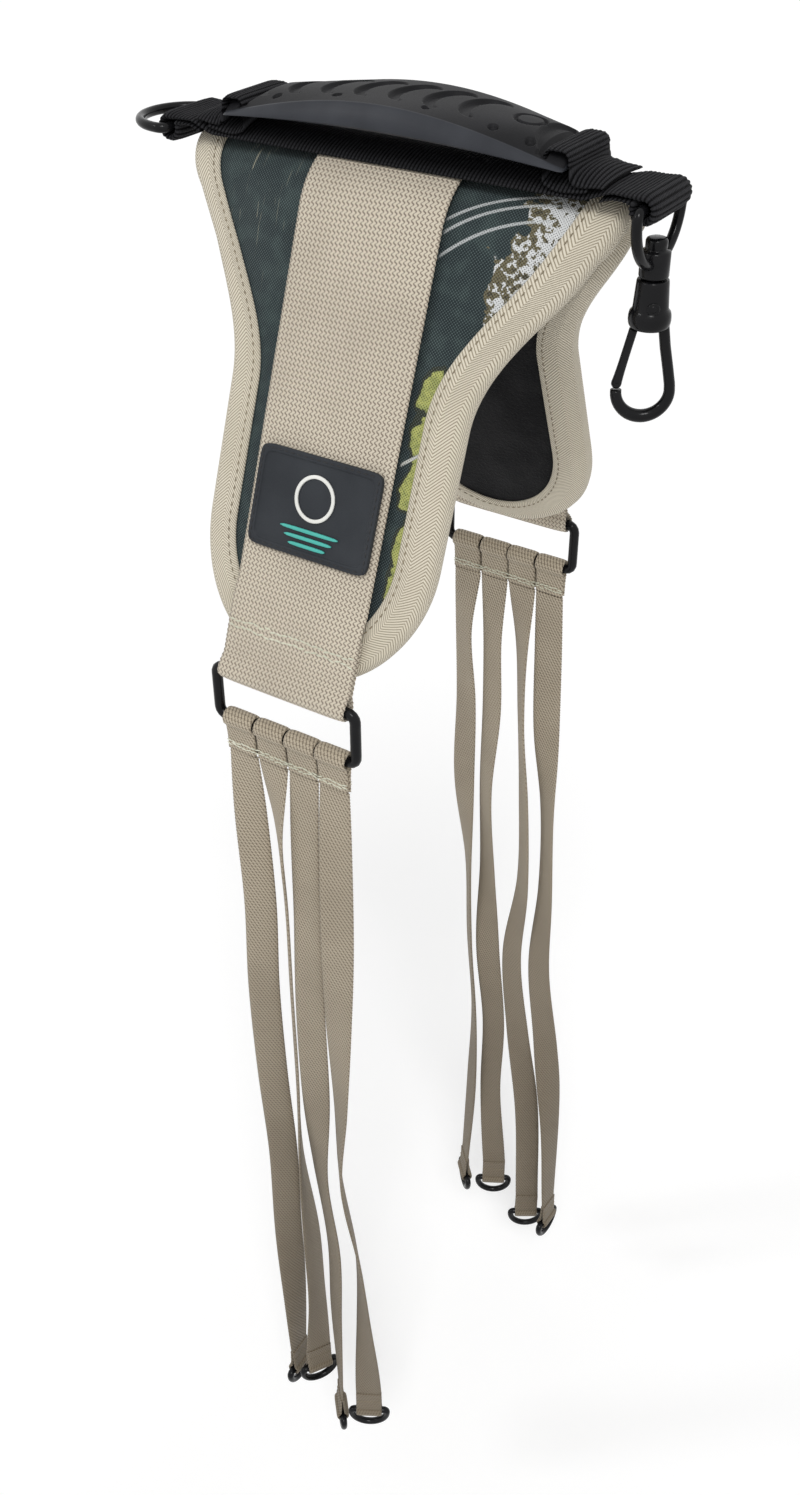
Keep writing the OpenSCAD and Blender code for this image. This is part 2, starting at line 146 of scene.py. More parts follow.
def makeFloatWeave():
    # rows of S-shaped floats: a wave leans each yarn, and a row may start part of a yarn along from the last
    tree, given, result = newGroup("floatWeave", [
        ("Vector", "NodeSocketVector", None), ("Across", "NodeSocketFloat", 1.5),
        ("Along", "NodeSocketFloat", 1.2), ("Slant", "NodeSocketFloat", 0.3),
        ("Shift", "NodeSocketFloat", 0.0)], [("Yarn", "NodeSocketFloat")])
    x, y = splitVector(tree, given["Vector"])[:2]
    row = calc(tree, "DIVIDE", y, given["Along"])
    whole = calc(tree, "FLOOR", row)
    shift = calc(tree, "MULTIPLY", calc(tree, "FLOORED_MODULO", whole, 2.0), given["Shift"])
    cellY = calc(tree, "SUBTRACT", calc(tree, "FRACT", row), 0.5)
    column = calc(tree, "ADD", calc(tree, "DIVIDE", x, given["Across"]), shift)
    wave = calc(tree, "SINE", calc(tree, "MULTIPLY", row, 2 * math.pi))
    leaned = calc(tree, "ADD", column, calc(tree, "MULTIPLY", wave, given["Slant"]))
    cellX = calc(tree, "SUBTRACT", calc(tree, "FRACT", leaned), 0.5)
    wide = calc(tree, "MULTIPLY", calc(tree, "POWER", calc(tree, "ABSOLUTE", cellX), 2.0), 4.2)
    tall = calc(tree, "MULTIPLY", calc(tree, "POWER", calc(tree, "ABSOLUTE", cellY), 2.0), 2.3)
    yarn = calc(tree, "SUBTRACT", 1.0, calc(tree, "ADD", wide, tall), clamp=True)
    tree.links.new(calc(tree, "POWER", yarn, 0.7), result["Yarn"])
    return tree


def makeTwill():
    # parallel slanted ribs that turn back at each column edge, as a herringbone does
    tree, given, result = newGroup("twill", [
        ("Vector", "NodeSocketVector", None), ("Pitch", "NodeSocketFloat", 1.1),
        ("Column", "NodeSocketFloat", 9.0)], [("Rib", "NodeSocketFloat")])
    x, y = splitVector(tree, given["Vector"])[:2]
    zigzag = calc(tree, "PINGPONG", x, given["Column"])
    phase = calc(tree, "DIVIDE", calc(tree, "ADD", y, zigzag), given["Pitch"])
    wave = calc(tree, "SINE", calc(tree, "MULTIPLY", phase, 2 * math.pi))
    tree.links.new(calc(tree, "MULTIPLY_ADD", wave, 0.5, 0.5), result["Rib"])
    return tree


def makeCanvas():
    # plain weave: the product of two sine waves at right angles
    tree, given, result = newGroup("canvas", [
        ("Vector", "NodeSocketVector", None), ("Pitch", "NodeSocketFloat", 1.0)],
        [("Thread", "NodeSocketFloat")])
    x, y = splitVector(tree, given["Vector"])[:2]
    waves = []
    for axis in (x, y):
        threads = calc(tree, "DIVIDE", axis, given["Pitch"])
        waves.append(calc(tree, "SINE", calc(tree, "MULTIPLY", threads, 2 * math.pi)))
    tree.links.new(calc(tree, "MULTIPLY_ADD", calc(tree, "MULTIPLY", *waves), 0.5, 0.5), result["Thread"])
    return tree


def makeUse():
    # slow tone drift and fine fibre or grain, from two sizes of noise on the piece's own coordinates
    tree, given, result = newGroup("use", [
        ("Vector", "NodeSocketVector", None), ("Drift Size", "NodeSocketFloat", 40.0),
        ("Grain Size", "NodeSocketFloat", 1500.0)],
        [("Drift", "NodeSocketFloat"), ("Grain", "NodeSocketFloat")])
    for label, detail in (("Drift", 3.0), ("Grain", 2.0)):
        node = tree.nodes.new("ShaderNodeTexNoise")
        node.inputs["Detail"].default_value = detail
        tree.links.new(given["Vector"], node.inputs["Vector"])
        tree.links.new(given[label + " Size"], node.inputs["Scale"])
        tree.links.new(node.outputs["Fac"], result[label])
    return tree


ribPitch = 1.3  # millimetres from rib to rib of the black webbing, for its mesh and its material
floatWeave, twill, canvas, use = makeFloatWeave(), makeTwill(), makeCanvas(), makeUse()


def place(tree, group, vector, **values):
    node = tree.nodes.new("ShaderNodeGroup")
    node.node_tree = group
    tree.links.new(vector, node.inputs["Vector"])
    for label, value in values.items():
        node.inputs[label.replace("_", " ")].default_value = value
    return node.outputs


def startMaterial(name, roughness, **constants):
    material = bpy.data.materials.new(name)
    material.use_nodes = True
    tree = material.node_tree
    shader = tree.nodes["Principled BSDF"]
    shader.inputs["Roughness"].default_value = roughness
    for label, value in constants.items():
        shader.inputs[label.replace("_", " ")].default_value = value
    where = tree.nodes.new("ShaderNodeTexCoord")
    return material, tree, shader, where.outputs["Object"], where.outputs["UV"]


def closeMaterial(tree, shader, tone, rough, height, depth):
    # the height stands out of the surface by depth, in metres
    bump = tree.nodes.new("ShaderNodeBump")
    bump.inputs["Distance"].default_value = depth
    bump.inputs["Strength"].default_value = 1.0
    tree.links.new(tone, shader.inputs["Base Color"])
    tree.links.new(rough, shader.inputs["Roughness"])
    tree.links.new(height, bump.inputs["Height"])
    tree.links.new(bump.outputs["Normal"], shader.inputs["Normal"])


def webbingMaterial(name, light, dark, across, along, slant, shift=0.0, depth=0.00022, fade=None):
    material, tree, shader, spot, cloth = startMaterial(name, 0.72, Sheen_Weight=0.12, Specular_IOR_Level=0.3)
    yarn = place(tree, floatWeave, cloth, Across=across, Along=along, Slant=slant, Shift=shift)["Yarn"]
    worn = place(tree, use, spot, Drift_Size=28.0, Grain_Size=1800.0)
    tone = blendColour(tree, ramp(tree, yarn, 0.08, 0.7), dark, light)
    tone = blendColour(tree, ramp(tree, worn["Drift"], 0.35, 0.75, 0.0, 0.22), tone, dark)
    if fade:
        # the lower lengths are darker and browner, by height
        height = splitVector(tree, spot)[2]
        lowerShare = ramp(tree, height, fade["from"], fade["to"], 0.0, fade["most"])
        tone = blendColour(tree, lowerShare, tone, fade["tone"])
    closeMaterial(tree, shader, tone, ramp(tree, yarn, 0.0, 1.0, 0.85, 0.62),
                  calc(tree, "MULTIPLY_ADD", worn["Grain"], 0.25, yarn), depth)
    return material


def blackWebbingMaterial():
    material, tree, shader, spot, cloth = startMaterial("blackWebbing", 0.75, Sheen_Weight=0.02,
                                                        Specular_IOR_Level=0.07)
    yarn = place(tree, floatWeave, cloth, Across=0.9, Along=0.65, Slant=0.12)["Yarn"]
    worn = place(tree, use, spot, Drift_Size=60.0, Grain_Size=2200.0)
    # painted highlight on the rib crests and painted shade in the troughs between them: the crests get a
    # lighter tone, the troughs a near-black one
    wave = calc(tree, "SINE", calc(tree, "MULTIPLY", splitVector(tree, cloth)[1], math.pi / ribPitch))
    ribHighlight = calc(tree, "MULTIPLY", ramp(tree, calc(tree, "ABSOLUTE", wave), 0.3, 0.98),
                 calc(tree, "MULTIPLY_ADD", yarn, 0.35, 0.65))
    tone = blendColour(tree, ribHighlight, (0.0015, 0.0015, 0.002), (0.030, 0.030, 0.033))
    tone = blendColour(tree, ramp(tree, worn["Drift"], 0.5, 0.8, 0.0, 0.25), tone, (0.032, 0.031, 0.033))
    closeMaterial(tree, shader, tone, ramp(tree, worn["Grain"], 0.3, 0.7, 0.65, 0.85),
                  yarn, 0.00012)
    return material


def tapeMaterial():
    material, tree, shader, spot, cloth = startMaterial("bindingTape", 0.75, Sheen_Weight=0.15,
                                                        Specular_IOR_Level=0.25)
    rib = place(tree, twill, cloth, Pitch=1.15, Column=5.2)["Rib"]
    worn = place(tree, use, spot, Drift_Size=22.0, Grain_Size=2000.0)
    tone = blendColour(tree, ramp(tree, rib, 0.0, 0.5), (0.30, 0.25, 0.175), (0.77, 0.71, 0.58))
    tone = blendColour(tree, ramp(tree, worn["Drift"], 0.4, 0.75, 0.0, 0.25), tone, (0.42, 0.37, 0.27))
    closeMaterial(tree, shader, tone, ramp(tree, rib, 0.0, 1.0, 0.85, 0.68),
                  calc(tree, "MULTIPLY_ADD", worn["Grain"], 0.3, rib), 0.00018)
    return material


def printMaterial():
    material, tree, shader, spot, cloth = startMaterial("printFabric", 0.8, Sheen_Weight=0.08,
                                                        Specular_IOR_Level=0.25)

    def field(label):
        node = tree.nodes.new("ShaderNodeAttribute")
        node.attribute_name = label
        return node.outputs["Fac"]

    thread = place(tree, canvas, cloth, Pitch=1.05)["Thread"]
    worn = place(tree, use, spot, Drift_Size=35.0, Grain_Size=2400.0)
    coarse = cloud(tree, spot, 170.0, 4.0)
    fine = cloud(tree, spot, 620.0, 3.0)
    base = blendColour(tree, ramp(tree, coarse, 0.4, 0.7), (0.018, 0.030, 0.033), (0.036, 0.056, 0.056))
    # thin pale grass strokes, only in patches
    stretched = tree.nodes.new("ShaderNodeMapping")
    stretched.inputs["Rotation"].default_value = (0.0, 0.0, 0.55)
    stretched.inputs["Scale"].default_value = (0.9, 0.06, 1.0)
    tree.links.new(cloth, stretched.inputs["Vector"])
    stroke = ramp(tree, cloud(tree, stretched.outputs["Vector"], 1.0, 3.0), 0.62, 0.68)
    patch = ramp(tree, field("grassField"), 0.0, 1.0)
    tone = blendColour(tree, calc(tree, "MULTIPLY", stroke, patch), base, (0.30, 0.29, 0.22))
    ragged = calc(tree, "MULTIPLY_ADD", calc(tree, "SUBTRACT", coarse, 0.5), 26.0, field("barkField"))
    bark = ramp(tree, ragged, -0.3, 0.5)
    speckle = calc(tree, "MULTIPLY_ADD", calc(tree, "SUBTRACT", fine, 0.5), 30.0,
                   calc(tree, "MULTIPLY", ragged, -0.55))
    pale = blendColour(tree, ramp(tree, speckle, -4.2, -2.6), (0.76, 0.77, 0.77), (0.15, 0.125, 0.065))
    pale = blendColour(tree, ramp(tree, fine, 0.60, 0.65, 0.0, 0.8), pale, (0.045, 0.038, 0.025))
    tone = blendColour(tree, bark, tone, pale)
    for arc in ("arcField", "arcFieldTwo", "arcFieldThree"):
        line = ramp(tree, calc(tree, "ABSOLUTE", field(arc)), 0.62, 0.3)
        line = calc(tree, "MULTIPLY", line, ramp(tree, field("arcReach"), 0.0, 2.0, 0.0, 0.75))
        tone = blendColour(tree, line, tone, (0.66, 0.68, 0.68))
    lobe = calc(tree, "MULTIPLY_ADD", calc(tree, "SUBTRACT", coarse, 0.5), 5.0, field("leafField"))
    tone = blendColour(tree, ramp(tree, lobe, -0.9, -0.6), tone, (0.03, 0.034, 0.02))
    leaf = blendColour(tree, ramp(tree, fine, 0.4, 0.62), (0.50, 0.52, 0.15), (0.34, 0.37, 0.11))
    tone = blendColour(tree, ramp(tree, lobe, 0.0, 0.3), tone, leaf)
    twig = ramp(tree, calc(tree, "ABSOLUTE", field("twigField")), 0.75, 0.45)
    twig = calc(tree, "MULTIPLY", twig, ramp(tree, field("twigReach"), 0.0, 1.0))
    tone = blendColour(tree, twig, tone, (0.62, 0.62, 0.58))
    # painted highlight: the tops of the canvas threads are lightened
    tone = blendColour(tree, ramp(tree, thread, 0.6, 0.95, 0.0, 0.42), tone, (0.2, 0.25, 0.245))
    tone = blendColour(tree, ramp(tree, thread, 0.05, 0.5, 0.8, 0.0), tone, (0.006, 0.009, 0.010))
    closeMaterial(tree, shader, tone, ramp(tree, worn["Drift"], 0.3, 0.7, 0.7, 0.86),
                  calc(tree, "MULTIPLY_ADD", worn["Grain"], 0.2, thread), 0.00016)
    return material


def fleeceMaterial():
    material, tree, shader, spot, _ = startMaterial("fleece", 0.95, Sheen_Weight=0.06, Sheen_Roughness=0.6,
                                                    Specular_IOR_Level=0.06)
    worn = place(tree, use, spot, Drift_Size=55.0, Grain_Size=900.0)
    tuft = cloud(tree, spot, 2600.0, 4.0)
    tone = blendColour(tree, ramp(tree, worn["Drift"], 0.35, 0.7), (0.004, 0.004, 0.005),
                       (0.013, 0.013, 0.014))
    tone = blendColour(tree, ramp(tree, tuft, 0.62, 0.72, 0.0, 0.5), tone, (0.03, 0.03, 0.032))
    closeMaterial(tree, shader, tone, ramp(tree, tuft, 0.3, 0.7, 0.85, 1.0),
                  calc(tree, "ADD", tuft, worn["Grain"]), 0.00035)
    return material


def mouldedMaterial(name, dark, light, roughness, depth=0.00004, grain=2600.0, **constants):
    material, tree, shader, spot, _ = startMaterial(name, roughness, **constants)
    worn = place(tree, use, spot, Drift_Size=45.0, Grain_Size=grain)
    tone = blendColour(tree, ramp(tree, worn["Drift"], 0.3, 0.75), dark, light)
    closeMaterial(tree, shader, tone, ramp(tree, worn["Grain"], 0.3, 0.7, roughness - 0.07, roughness + 0.09),
                  worn["Grain"], depth)
    return material


def gripMaterial():
    # the patterned top is matt and near black; the smooth sides are less rough, and their lighter tone is
    # painted sheen for their satin finish
    material, tree, shader, spot, _ = startMaterial("gripRubber", 0.5, Specular_IOR_Level=0.14)
    top = tree.nodes.new("ShaderNodeAttribute")
    top.attribute_name = "topFace"
    worn = place(tree, use, spot, Drift_Size=45.0, Grain_Size=2400.0)
    drift = ramp(tree, worn["Drift"], 0.3, 0.75)
    # painted sheen: the sides get a lighter tone than the top, though both are the same rubber
    side = blendColour(tree, drift, (0.030, 0.032, 0.038), (0.045, 0.048, 0.056))
    upper = blendColour(tree, drift, (0.007, 0.007, 0.008), (0.013, 0.013, 0.015))
    tone = blendColour(tree, top.outputs["Fac"], side, upper)
    matt = calc(tree, "MULTIPLY_ADD", top.outputs["Fac"], 0.18, 0.3)
    rough = calc(tree, "MULTIPLY_ADD", worn["Grain"], 0.16, matt)
    closeMaterial(tree, shader, tone, rough, worn["Grain"], 0.00003)
    return material


strandFade = {"from": -0.20, "to": -0.52, "most": 0.72, "tone": (0.105, 0.079, 0.048)}
tanWebbing = webbingMaterial("tanWebbing", (0.66, 0.59, 0.475), (0.24, 0.195, 0.15), 1.55, 1.7, 0.26)
strandWebbing = webbingMaterial("strandWebbing", (0.50, 0.43, 0.325), (0.17, 0.135, 0.095), 1.35, 1.3, 0.22,
                                shift=0.5, fade=strandFade)
blackWebbing = blackWebbingMaterial()
bindingTape = tapeMaterial()
printFabric = printMaterial()
fleece = fleeceMaterial()
foam = mouldedMaterial("foam", (0.6, 0.6, 0.56), (0.72, 0.72, 0.68), 0.85, 0.0002, 1200.0)
gripRubber = gripMaterial()
labelRubber = mouldedMaterial("labelRubber", (0.022, 0.025, 0.030), (0.034, 0.038, 0.044), 0.55,
                              Specular_IOR_Level=0.2)
labelPale = mouldedMaterial("labelPale", (0.74, 0.74, 0.70), (0.84, 0.84, 0.80), 0.5)
labelGreen = mouldedMaterial("labelGreen", (0.055, 0.42, 0.36), (0.08, 0.50, 0.43), 0.5)
blackMetal = mouldedMaterial("blackMetal", (0.0035, 0.0035, 0.004), (0.008, 0.008, 0.009), 0.17,
                             0.00001, 1500.0, Specular_IOR_Level=0.17)
paleThread = mouldedMaterial("paleThread", (0.58, 0.58, 0.46), (0.74, 0.74, 0.62), 0.7, 0.00005, 5000.0)
tapeThread = mouldedMaterial("tapeThread", (0.20, 0.165, 0.11), (0.30, 0.25, 0.17), 0.75, 0.00005, 5000.0)
darkThread = mouldedMaterial("darkThread", (0.008, 0.008, 0.009), (0.016, 0.016, 0.018), 0.6, 0.00005, 5000.0)
print("materials made")


# mesh tools
upright = np.array([0.0, 0.0, 1.0])
acrossX = np.array([1.0, 0.0, 0.0])


def gridQuads(rows, columns, joinRows=False, joinColumns=False):
    # the four corner numbers of each face of a grid counted row by row; a joined side runs back to its start
    r = np.arange(rows if joinRows else rows - 1)[:, None]
    c = np.arange(columns if joinColumns else columns - 1)[None, :]
    r2, c2 = (r + 1) % rows, (c + 1) % columns
    corners = [r * columns + c, r * columns + c2, r2 * columns + c2, r2 * columns + c]
    return np.stack([np.broadcast_to(k, (r.size, c.size)) for k in corners], -1).reshape(-1, 4)


def addPiece(name, points, faces, material, body, nodes=(), uv=None, fields=None):
    # points in millimetres; uv and fields have one row for each point
    mesh = bpy.data.meshes.new(name)
    mesh.from_pydata((np.asarray(points, float).reshape(-1, 3) * mm).tolist(), [], faces)
    mesh.update()
    if uv is not None:
        corner = np.empty(len(mesh.loops), np.int32)
        mesh.loops.foreach_get("vertex_index", corner)
        layer = mesh.uv_layers.new(name="cloth")
        layer.data.foreach_set("uv", np.asarray(uv, float).reshape(-1, 2)[corner].ravel())
    for label, values in (fields or {}).items():
        layer = mesh.attributes.new(label, "FLOAT", "POINT")
        layer.data.foreach_set("value", np.asarray(values, float).ravel())
    shape = bmesh.new()
    shape.from_mesh(mesh)
    bmesh.ops.recalc_face_normals(shape, faces=shape.faces)
    shape.to_mesh(mesh)
    shape.free()
    mesh.shade_smooth()
    mesh.materials.append(material)
    obj = bpy.data.objects.new(name, mesh)
    scene.collection.objects.link(obj)
    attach(obj, body)
    if nodes:
        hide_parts(*nodes)
    return obj


def joinGrids(parts):
    # several (grid, uv, closed rows) tubes as one list of points, faces and uv
    points, faces, uvs, start = [], [], [], 0
    for grid, uv, closed in parts:
        rows, columns = grid.shape[:2]
        faces += (gridQuads(rows, columns, closed, True) + start).tolist()
        if not closed:
            faces.append(list(range(start + columns - 1, start - 1, -1)))
            faces.append(list(range(start + (rows - 1) * columns, start + rows * columns)))
        points.append(grid.reshape(-1, 3))
        uvs.append(uv.reshape(-1, 2))
        start += rows * columns
    return np.concatenate(points), faces, np.concatenate(uvs)


def tubePiece(name, parts, material, body, nodes=(), fields=None):
    points, faces, uv = joinGrids(parts)
    return addPiece(name, points, faces, material, body, nodes, uv, fields)


def metalPiece(name, parts, body, node):
    return tubePiece(name, parts, blackMetal, body, [node])


def laid(outline, origin, across, up=upright):
    # a flat outline in space: origin + first column times across + second column times up
    return origin + outline[:, :1] * across + outline[:, 1:] * up


def arcLine(centre, radius, start, stop, count):
    # count points on a circle in the plane, from one angle to another in radians
    turn = np.linspace(start, stop, count)
    return np.stack([centre[0] + radius * np.cos(turn), centre[1] + radius * np.sin(turn)], 1)


def unit(vectors):
    # each vector divided by its own length
    return vectors / np.maximum(np.linalg.norm(vectors, axis=-1, keepdims=True), 1e-9)


def lengthsAlong(path):
    # the distance walked along the path to each of its points
    return np.concatenate([[0.0], np.cumsum(np.linalg.norm(np.diff(path, axis=0), axis=1))])


def smoothThrough(knots, values, where):
    # a cubic curve through each value, with slopes taken from its neighbours
    knots, values = np.asarray(knots, float), np.asarray(values, float)
    slopes = np.gradient(values, knots, axis=0)
    i = np.clip(np.searchsorted(knots, where, side="right") - 1, 0, len(knots) - 2)
    gap = knots[i + 1] - knots[i]
    t = (where - knots[i]) / gap
    shape = (-1,) + (1,) * (values.ndim - 1)
    t, gap = t.reshape(shape), gap.reshape(shape)
    return ((2 * t**3 - 3 * t**2 + 1) * values[i] + (t**3 - 2 * t**2 + t) * gap * slopes[i]
            + (3 * t**2 - 2 * t**3) * values[i + 1] + (t**3 - t**2) * gap * slopes[i + 1])


def evenly(path, step):
    # the same line with points a step apart
    along = lengthsAlong(path)
    where = np.linspace(0.0, along[-1], max(3, int(round(along[-1] / step)) + 1))
    return np.stack([np.interp(where, along, path[:, k]) for k in range(path.shape[1])], 1)


def ease(t):
    # 0 to 1 with level ends: three t squared less two t cubed
    t = np.clip(t, 0.0, 1.0)
    return t * t * (3.0 - 2.0 * t)


def strapGrid(path, side, width, thick, samples=9, rib=None, ripple=0.0, ripplePitch=1.7):
    # a flat strap carried along a path: across it runs side, and through it the path's normal;
    # it thins at its edges as the root of 1 - (share of half width)^8, ribs are a rectified sine of
    # the length, and a ripple moves both edges by a cosine of the length
    along = lengthsAlong(path)
    forward = unit(np.gradient(path, axis=0))
    side = np.broadcast_to(side, path.shape)
    side = unit(side - (side * forward).sum(1, keepdims=True) * forward)
    normal = np.cross(side, forward)
    across = np.sin(np.linspace(-math.pi / 2, math.pi / 2, samples))
    crown = np.sqrt(1.0 - np.abs(across) ** 8)
    across = np.concatenate([across, across[-2:0:-1]])
    sign = np.concatenate([crown, -crown[-2:0:-1]])
    half = np.broadcast_to(np.asarray(thick, float) / 2, along.shape)[:, None] * sign
    if rib:
        bump = rib["height"] * np.abs(np.sin(math.pi * along / rib["pitch"]))[:, None]
        half = half + np.sign(sign) * (bump - rib["height"]) * (np.abs(sign) > 0.2)
    reach = (width / 2 + ripple * np.cos(2 * math.pi * along / ripplePitch))[:, None] * across
    grid = path[:, None] + side[:, None] * reach[..., None] + normal[:, None] * half[..., None]
    uv = np.stack(np.broadcast_arrays(across * width / 2, along[:, None]), -1)
    return grid, uv


def wireGrid(path, flat, radius, closed=False, segments=16):
    # round wire along a flat path; flat is the direction square to the path's plane
    if closed:
        forward = unit(np.roll(path, -1, 0) - np.roll(path, 1, 0))
    else:
        forward = unit(np.gradient(path, axis=0))
    flat = unit(np.broadcast_to(np.asarray(flat, float), path.shape))
    outward = unit(np.cross(forward, flat))
    turn = np.arange(segments) * 2 * math.pi / segments
    radius = np.broadcast_to(np.asarray(radius, float), len(path))[:, None, None]
    ring = np.cos(turn)[:, None] * outward[:, None] + np.sin(turn)[:, None] * flat[:, None]
    grid = path[:, None] + radius * ring
    uv = np.stack(np.broadcast_arrays(turn, lengthsAlong(path)[:, None]), -1)
    return grid, uv, closed


def turnedGrid(profile, centre, segments=40):
    # a profile of (radius, height) rows turned about the vertical through centre
    turn = np.arange(segments) * 2 * math.pi / segments
    r, z = np.maximum(profile[:, 0], 0.02)[:, None], profile[:, 1][:, None]
    grid = np.stack(np.broadcast_arrays(r * np.cos(turn), r * np.sin(turn), z), -1)
    grid = grid + np.asarray(centre, float)
    uv = np.stack(np.broadcast_arrays(turn, z), -1)
    return grid, uv, False


def stitchPiece(name, places, forward, upward, size, material, body):
    # each stitch is a small rounded bead of thread: long along the seam, half sunk in the cloth
    forward, upward = unit(np.asarray(forward, float)), unit(np.asarray(upward, float))
    forward, upward = np.broadcast_to(forward, places.shape), np.broadcast_to(upward, places.shape)
    across = unit(np.cross(forward, upward))
    fat = np.array([0.35, 0.85, 1.0, 0.85, 0.35])
    rings, sides = len(fat), 6
    t = np.linspace(-1, 1, rings)
    turn = np.arange(sides) * math.pi / 3
    local = np.stack(np.broadcast_arrays(t[:, None] * size[0] / 2, fat[:, None] * np.cos(turn) * size[1] / 2,
                                         fat[:, None] * np.sin(turn) * size[2] / 2), -1).reshape(-1, 3)
    frames = np.stack([forward, across, upward], 1)
    points = places[:, None] + local @ frames
    firsts = (np.arange(len(places)) * rings * sides)[:, None, None]
    caps = np.stack([np.arange(sides)[::-1], np.arange(sides) + (rings - 1) * sides])
    faces = (gridQuads(rings, sides, False, True) + firsts).reshape(-1, 4).tolist()
    faces += (caps + firsts).reshape(-1, sides).tolist()
    return addPiece(name, points, faces, material, body, ())


# the saddle's own surface
saddle = {"ridgeHeight": -15.0, "ridgeRadius": 21.0, "lean": 21.0, "padHalf": 167.5, "endLength": 45.0,
          "topWidth": 150.0, "lowWidth": 84.0, "waistFrom": 4.0, "waistRun": 76.0, "thick": 8.6,
          "rimShare": 0.4, "rimRun": 7.0, "wingDroop": 6.0, "wingRun": 34.0, "wingFrom": 40.0,
          "tapeWidth": 11.0, "tapeThick": 0.8, "seatGap": 0.3, "strapWidth": 50.8, "strapThick": 1.4,
          "strapInner": 1.4, "barWire": 3.7, "barGap": 19.5, "headLength": 13.0, "hingeDrop": 0.9,
          "blackWidth": 25.4}
foldTurn = math.radians(90.0 - saddle["lean"])
foldArc = saddle["ridgeRadius"] * foldTurn
bodyEnd = saddle["padHalf"] - saddle["endLength"]


def onSaddle(x, s, h):
    # s runs from the ridge down the back (+) or the front (-), h is the height above the cover:
    # a circle about the ridge's axis, then a straight line that leaves it without a kink
    r = saddle["ridgeRadius"]
    turn = np.minimum(np.abs(s) / r, foldTurn)
    flat = np.maximum(0.0, np.abs(s) - foldArc)
    y = np.where(s < 0, -1.0, 1.0) * ((r + h) * np.sin(turn) + flat * math.cos(foldTurn))
    z = saddle["ridgeHeight"] - r + (r + h) * np.cos(turn) - flat * math.sin(foldTurn)
    return np.stack(np.broadcast_arrays(x, y, z), -1)


def halfWidth(s):
    # half a cosine wave from the width at the ridge to the width of the panel
    down = np.clip((np.abs(s) - saddle["waistFrom"]) / saddle["waistRun"], 0, 1)
    drawn = (1 + np.cos(math.pi * down)) / 2
    return (saddle["lowWidth"] + (saddle["topWidth"] - saddle["lowWidth"]) * drawn) / 2


def thinning(d):
    # the share of the pad's thickness left at d from its rim: it nears 1 exponentially
    return 1 - saddle["rimShare"] * np.exp(-np.maximum(0.0, d) / saddle["rimRun"])


def curl(x, s):
    # the wings beside the strap droop with the square of their reach, and not at the ridge
    wing = np.maximum(0.0, np.abs(x) - saddle["strapWidth"] / 2 - 1) / saddle["wingRun"]
    return saddle["wingDroop"] * wing**2 * np.minimum(1.0, np.abs(s) / saddle["wingFrom"])


def onPad(x, s, depth, d):
    # the saddle's surface, depth below the cover: inside the pad the depth thins towards the rim
    return onSaddle(x, s, -np.where(depth > 0, depth * thinning(d), depth) - curl(x, s))


strapMid = saddle["strapInner"] + saddle["strapThick"]
barHole = saddle["barWire"] / 2 + saddle["seatGap"]
barAlong = (saddle["padHalf"] + saddle["seatGap"] + saddle["tapeThick"] + barHole + saddle["strapThick"]
            + 1.0)
barY, barZ = onSaddle(0.0, np.float64(barAlong), strapMid)[1:]
lowZ = barZ - saddle["barGap"]
hingeZ = lowZ - saddle["headLength"] - saddle["hingeDrop"]


# strands: eight free cords
# one strand a row, along X, Y, Z from its hinge, then the turn of the ribbon in degrees
strand = {"width": 12.2, "thick": 1.2, "step": 0.65, "tabLength": 13.0, "tabThick": 1.15, "foldGap": 0.9,
          "seamDrop": 4.4, "seamHalf": 4.9, "ringWire": 3.2, "ringHalf": 8.4, "ringLeg": 2.0,
          "ringCorner": 1.7}
routes = {"front": [
    [[-19, 0, 0, 0], [-17.5, -1, -25, 20], [-15.5, -2, -65, 25], [-17, -2, -110, 30], [-17, -1, -160, 33],
     [-15.5, 0, -210, 33], [-16, 0, -260, 35], [-16, 1, -310, 65], [-16, 1, -358, 92]],
    [[-6.4, 0, 0, 0], [-5.5, -1, -25, -40], [-5, 0, -65, -50], [-6, 1, -110, -50], [-6, 1, -160, -50],
     [-6, 0, -210, -60], [-3, 0, -260, -88], [-3, 1, -310, -95], [-4, 1, -350, -122]],
    [[6.4, 0, 0, 0], [6, -1, -25, 0], [6, -2, -65, 2], [5, -2, -110, 12], [4.5, -1, -160, 12],
     [4, 0, -210, -25], [9, 0, -260, -28], [8.5, 0, -310, -32], [9, 0, -374, -48]],
    [[19, 0, 0, 0], [19, -1, -25, 15], [19, -2, -65, 25], [18, -2, -110, 0], [16.5, -1, -160, -30],
     [14.5, 0, -210, -52], [22, 0, -260, -45], [23.5, 1, -310, -20], [24, 2, -366, 30]]],
    "back": [
    [[-19, 0, 0, 0], [-21, 1, -25, -25], [-19.5, 2, -65, -16], [-20, 3, -110, -10], [-16.5, 3, -160, -48],
     [-15, 4, -210, -50], [-11, 4, -260, -50], [-11.5, 5, -310, -40], [-14.5, 6, -378, -46]],
    [[-6.4, 0, 0, 0], [-7, 1, -25, -20], [-6.5, 2, -65, -20], [-8, 2, -110, -35], [-6, 3, -160, -25],
     [-4, 3, -210, 10], [0.5, 4, -260, 5], [0, 5, -310, 0], [4, 6, -372, 30]],
    [[6.4, 0, 0, 0], [7, 1, -25, -35], [8, 2, -65, -50], [11, 3, -110, -43], [13, 3, -160, -38],
     [9, 4, -210, -13], [14, 5, -260, 5], [21, 6, -310, 28], [25, 7, -388, 33]],
    [[19, 0, 0, 0], [19.5, 1, -25, 5], [20.5, 2, -65, 5], [23, 3, -110, -33], [25, 3, -160, -31],
     [24, 4, -210, -5], [30, 5, -260, 15], [35, 6, -310, 60], [38, 7, -384, 88]]]}


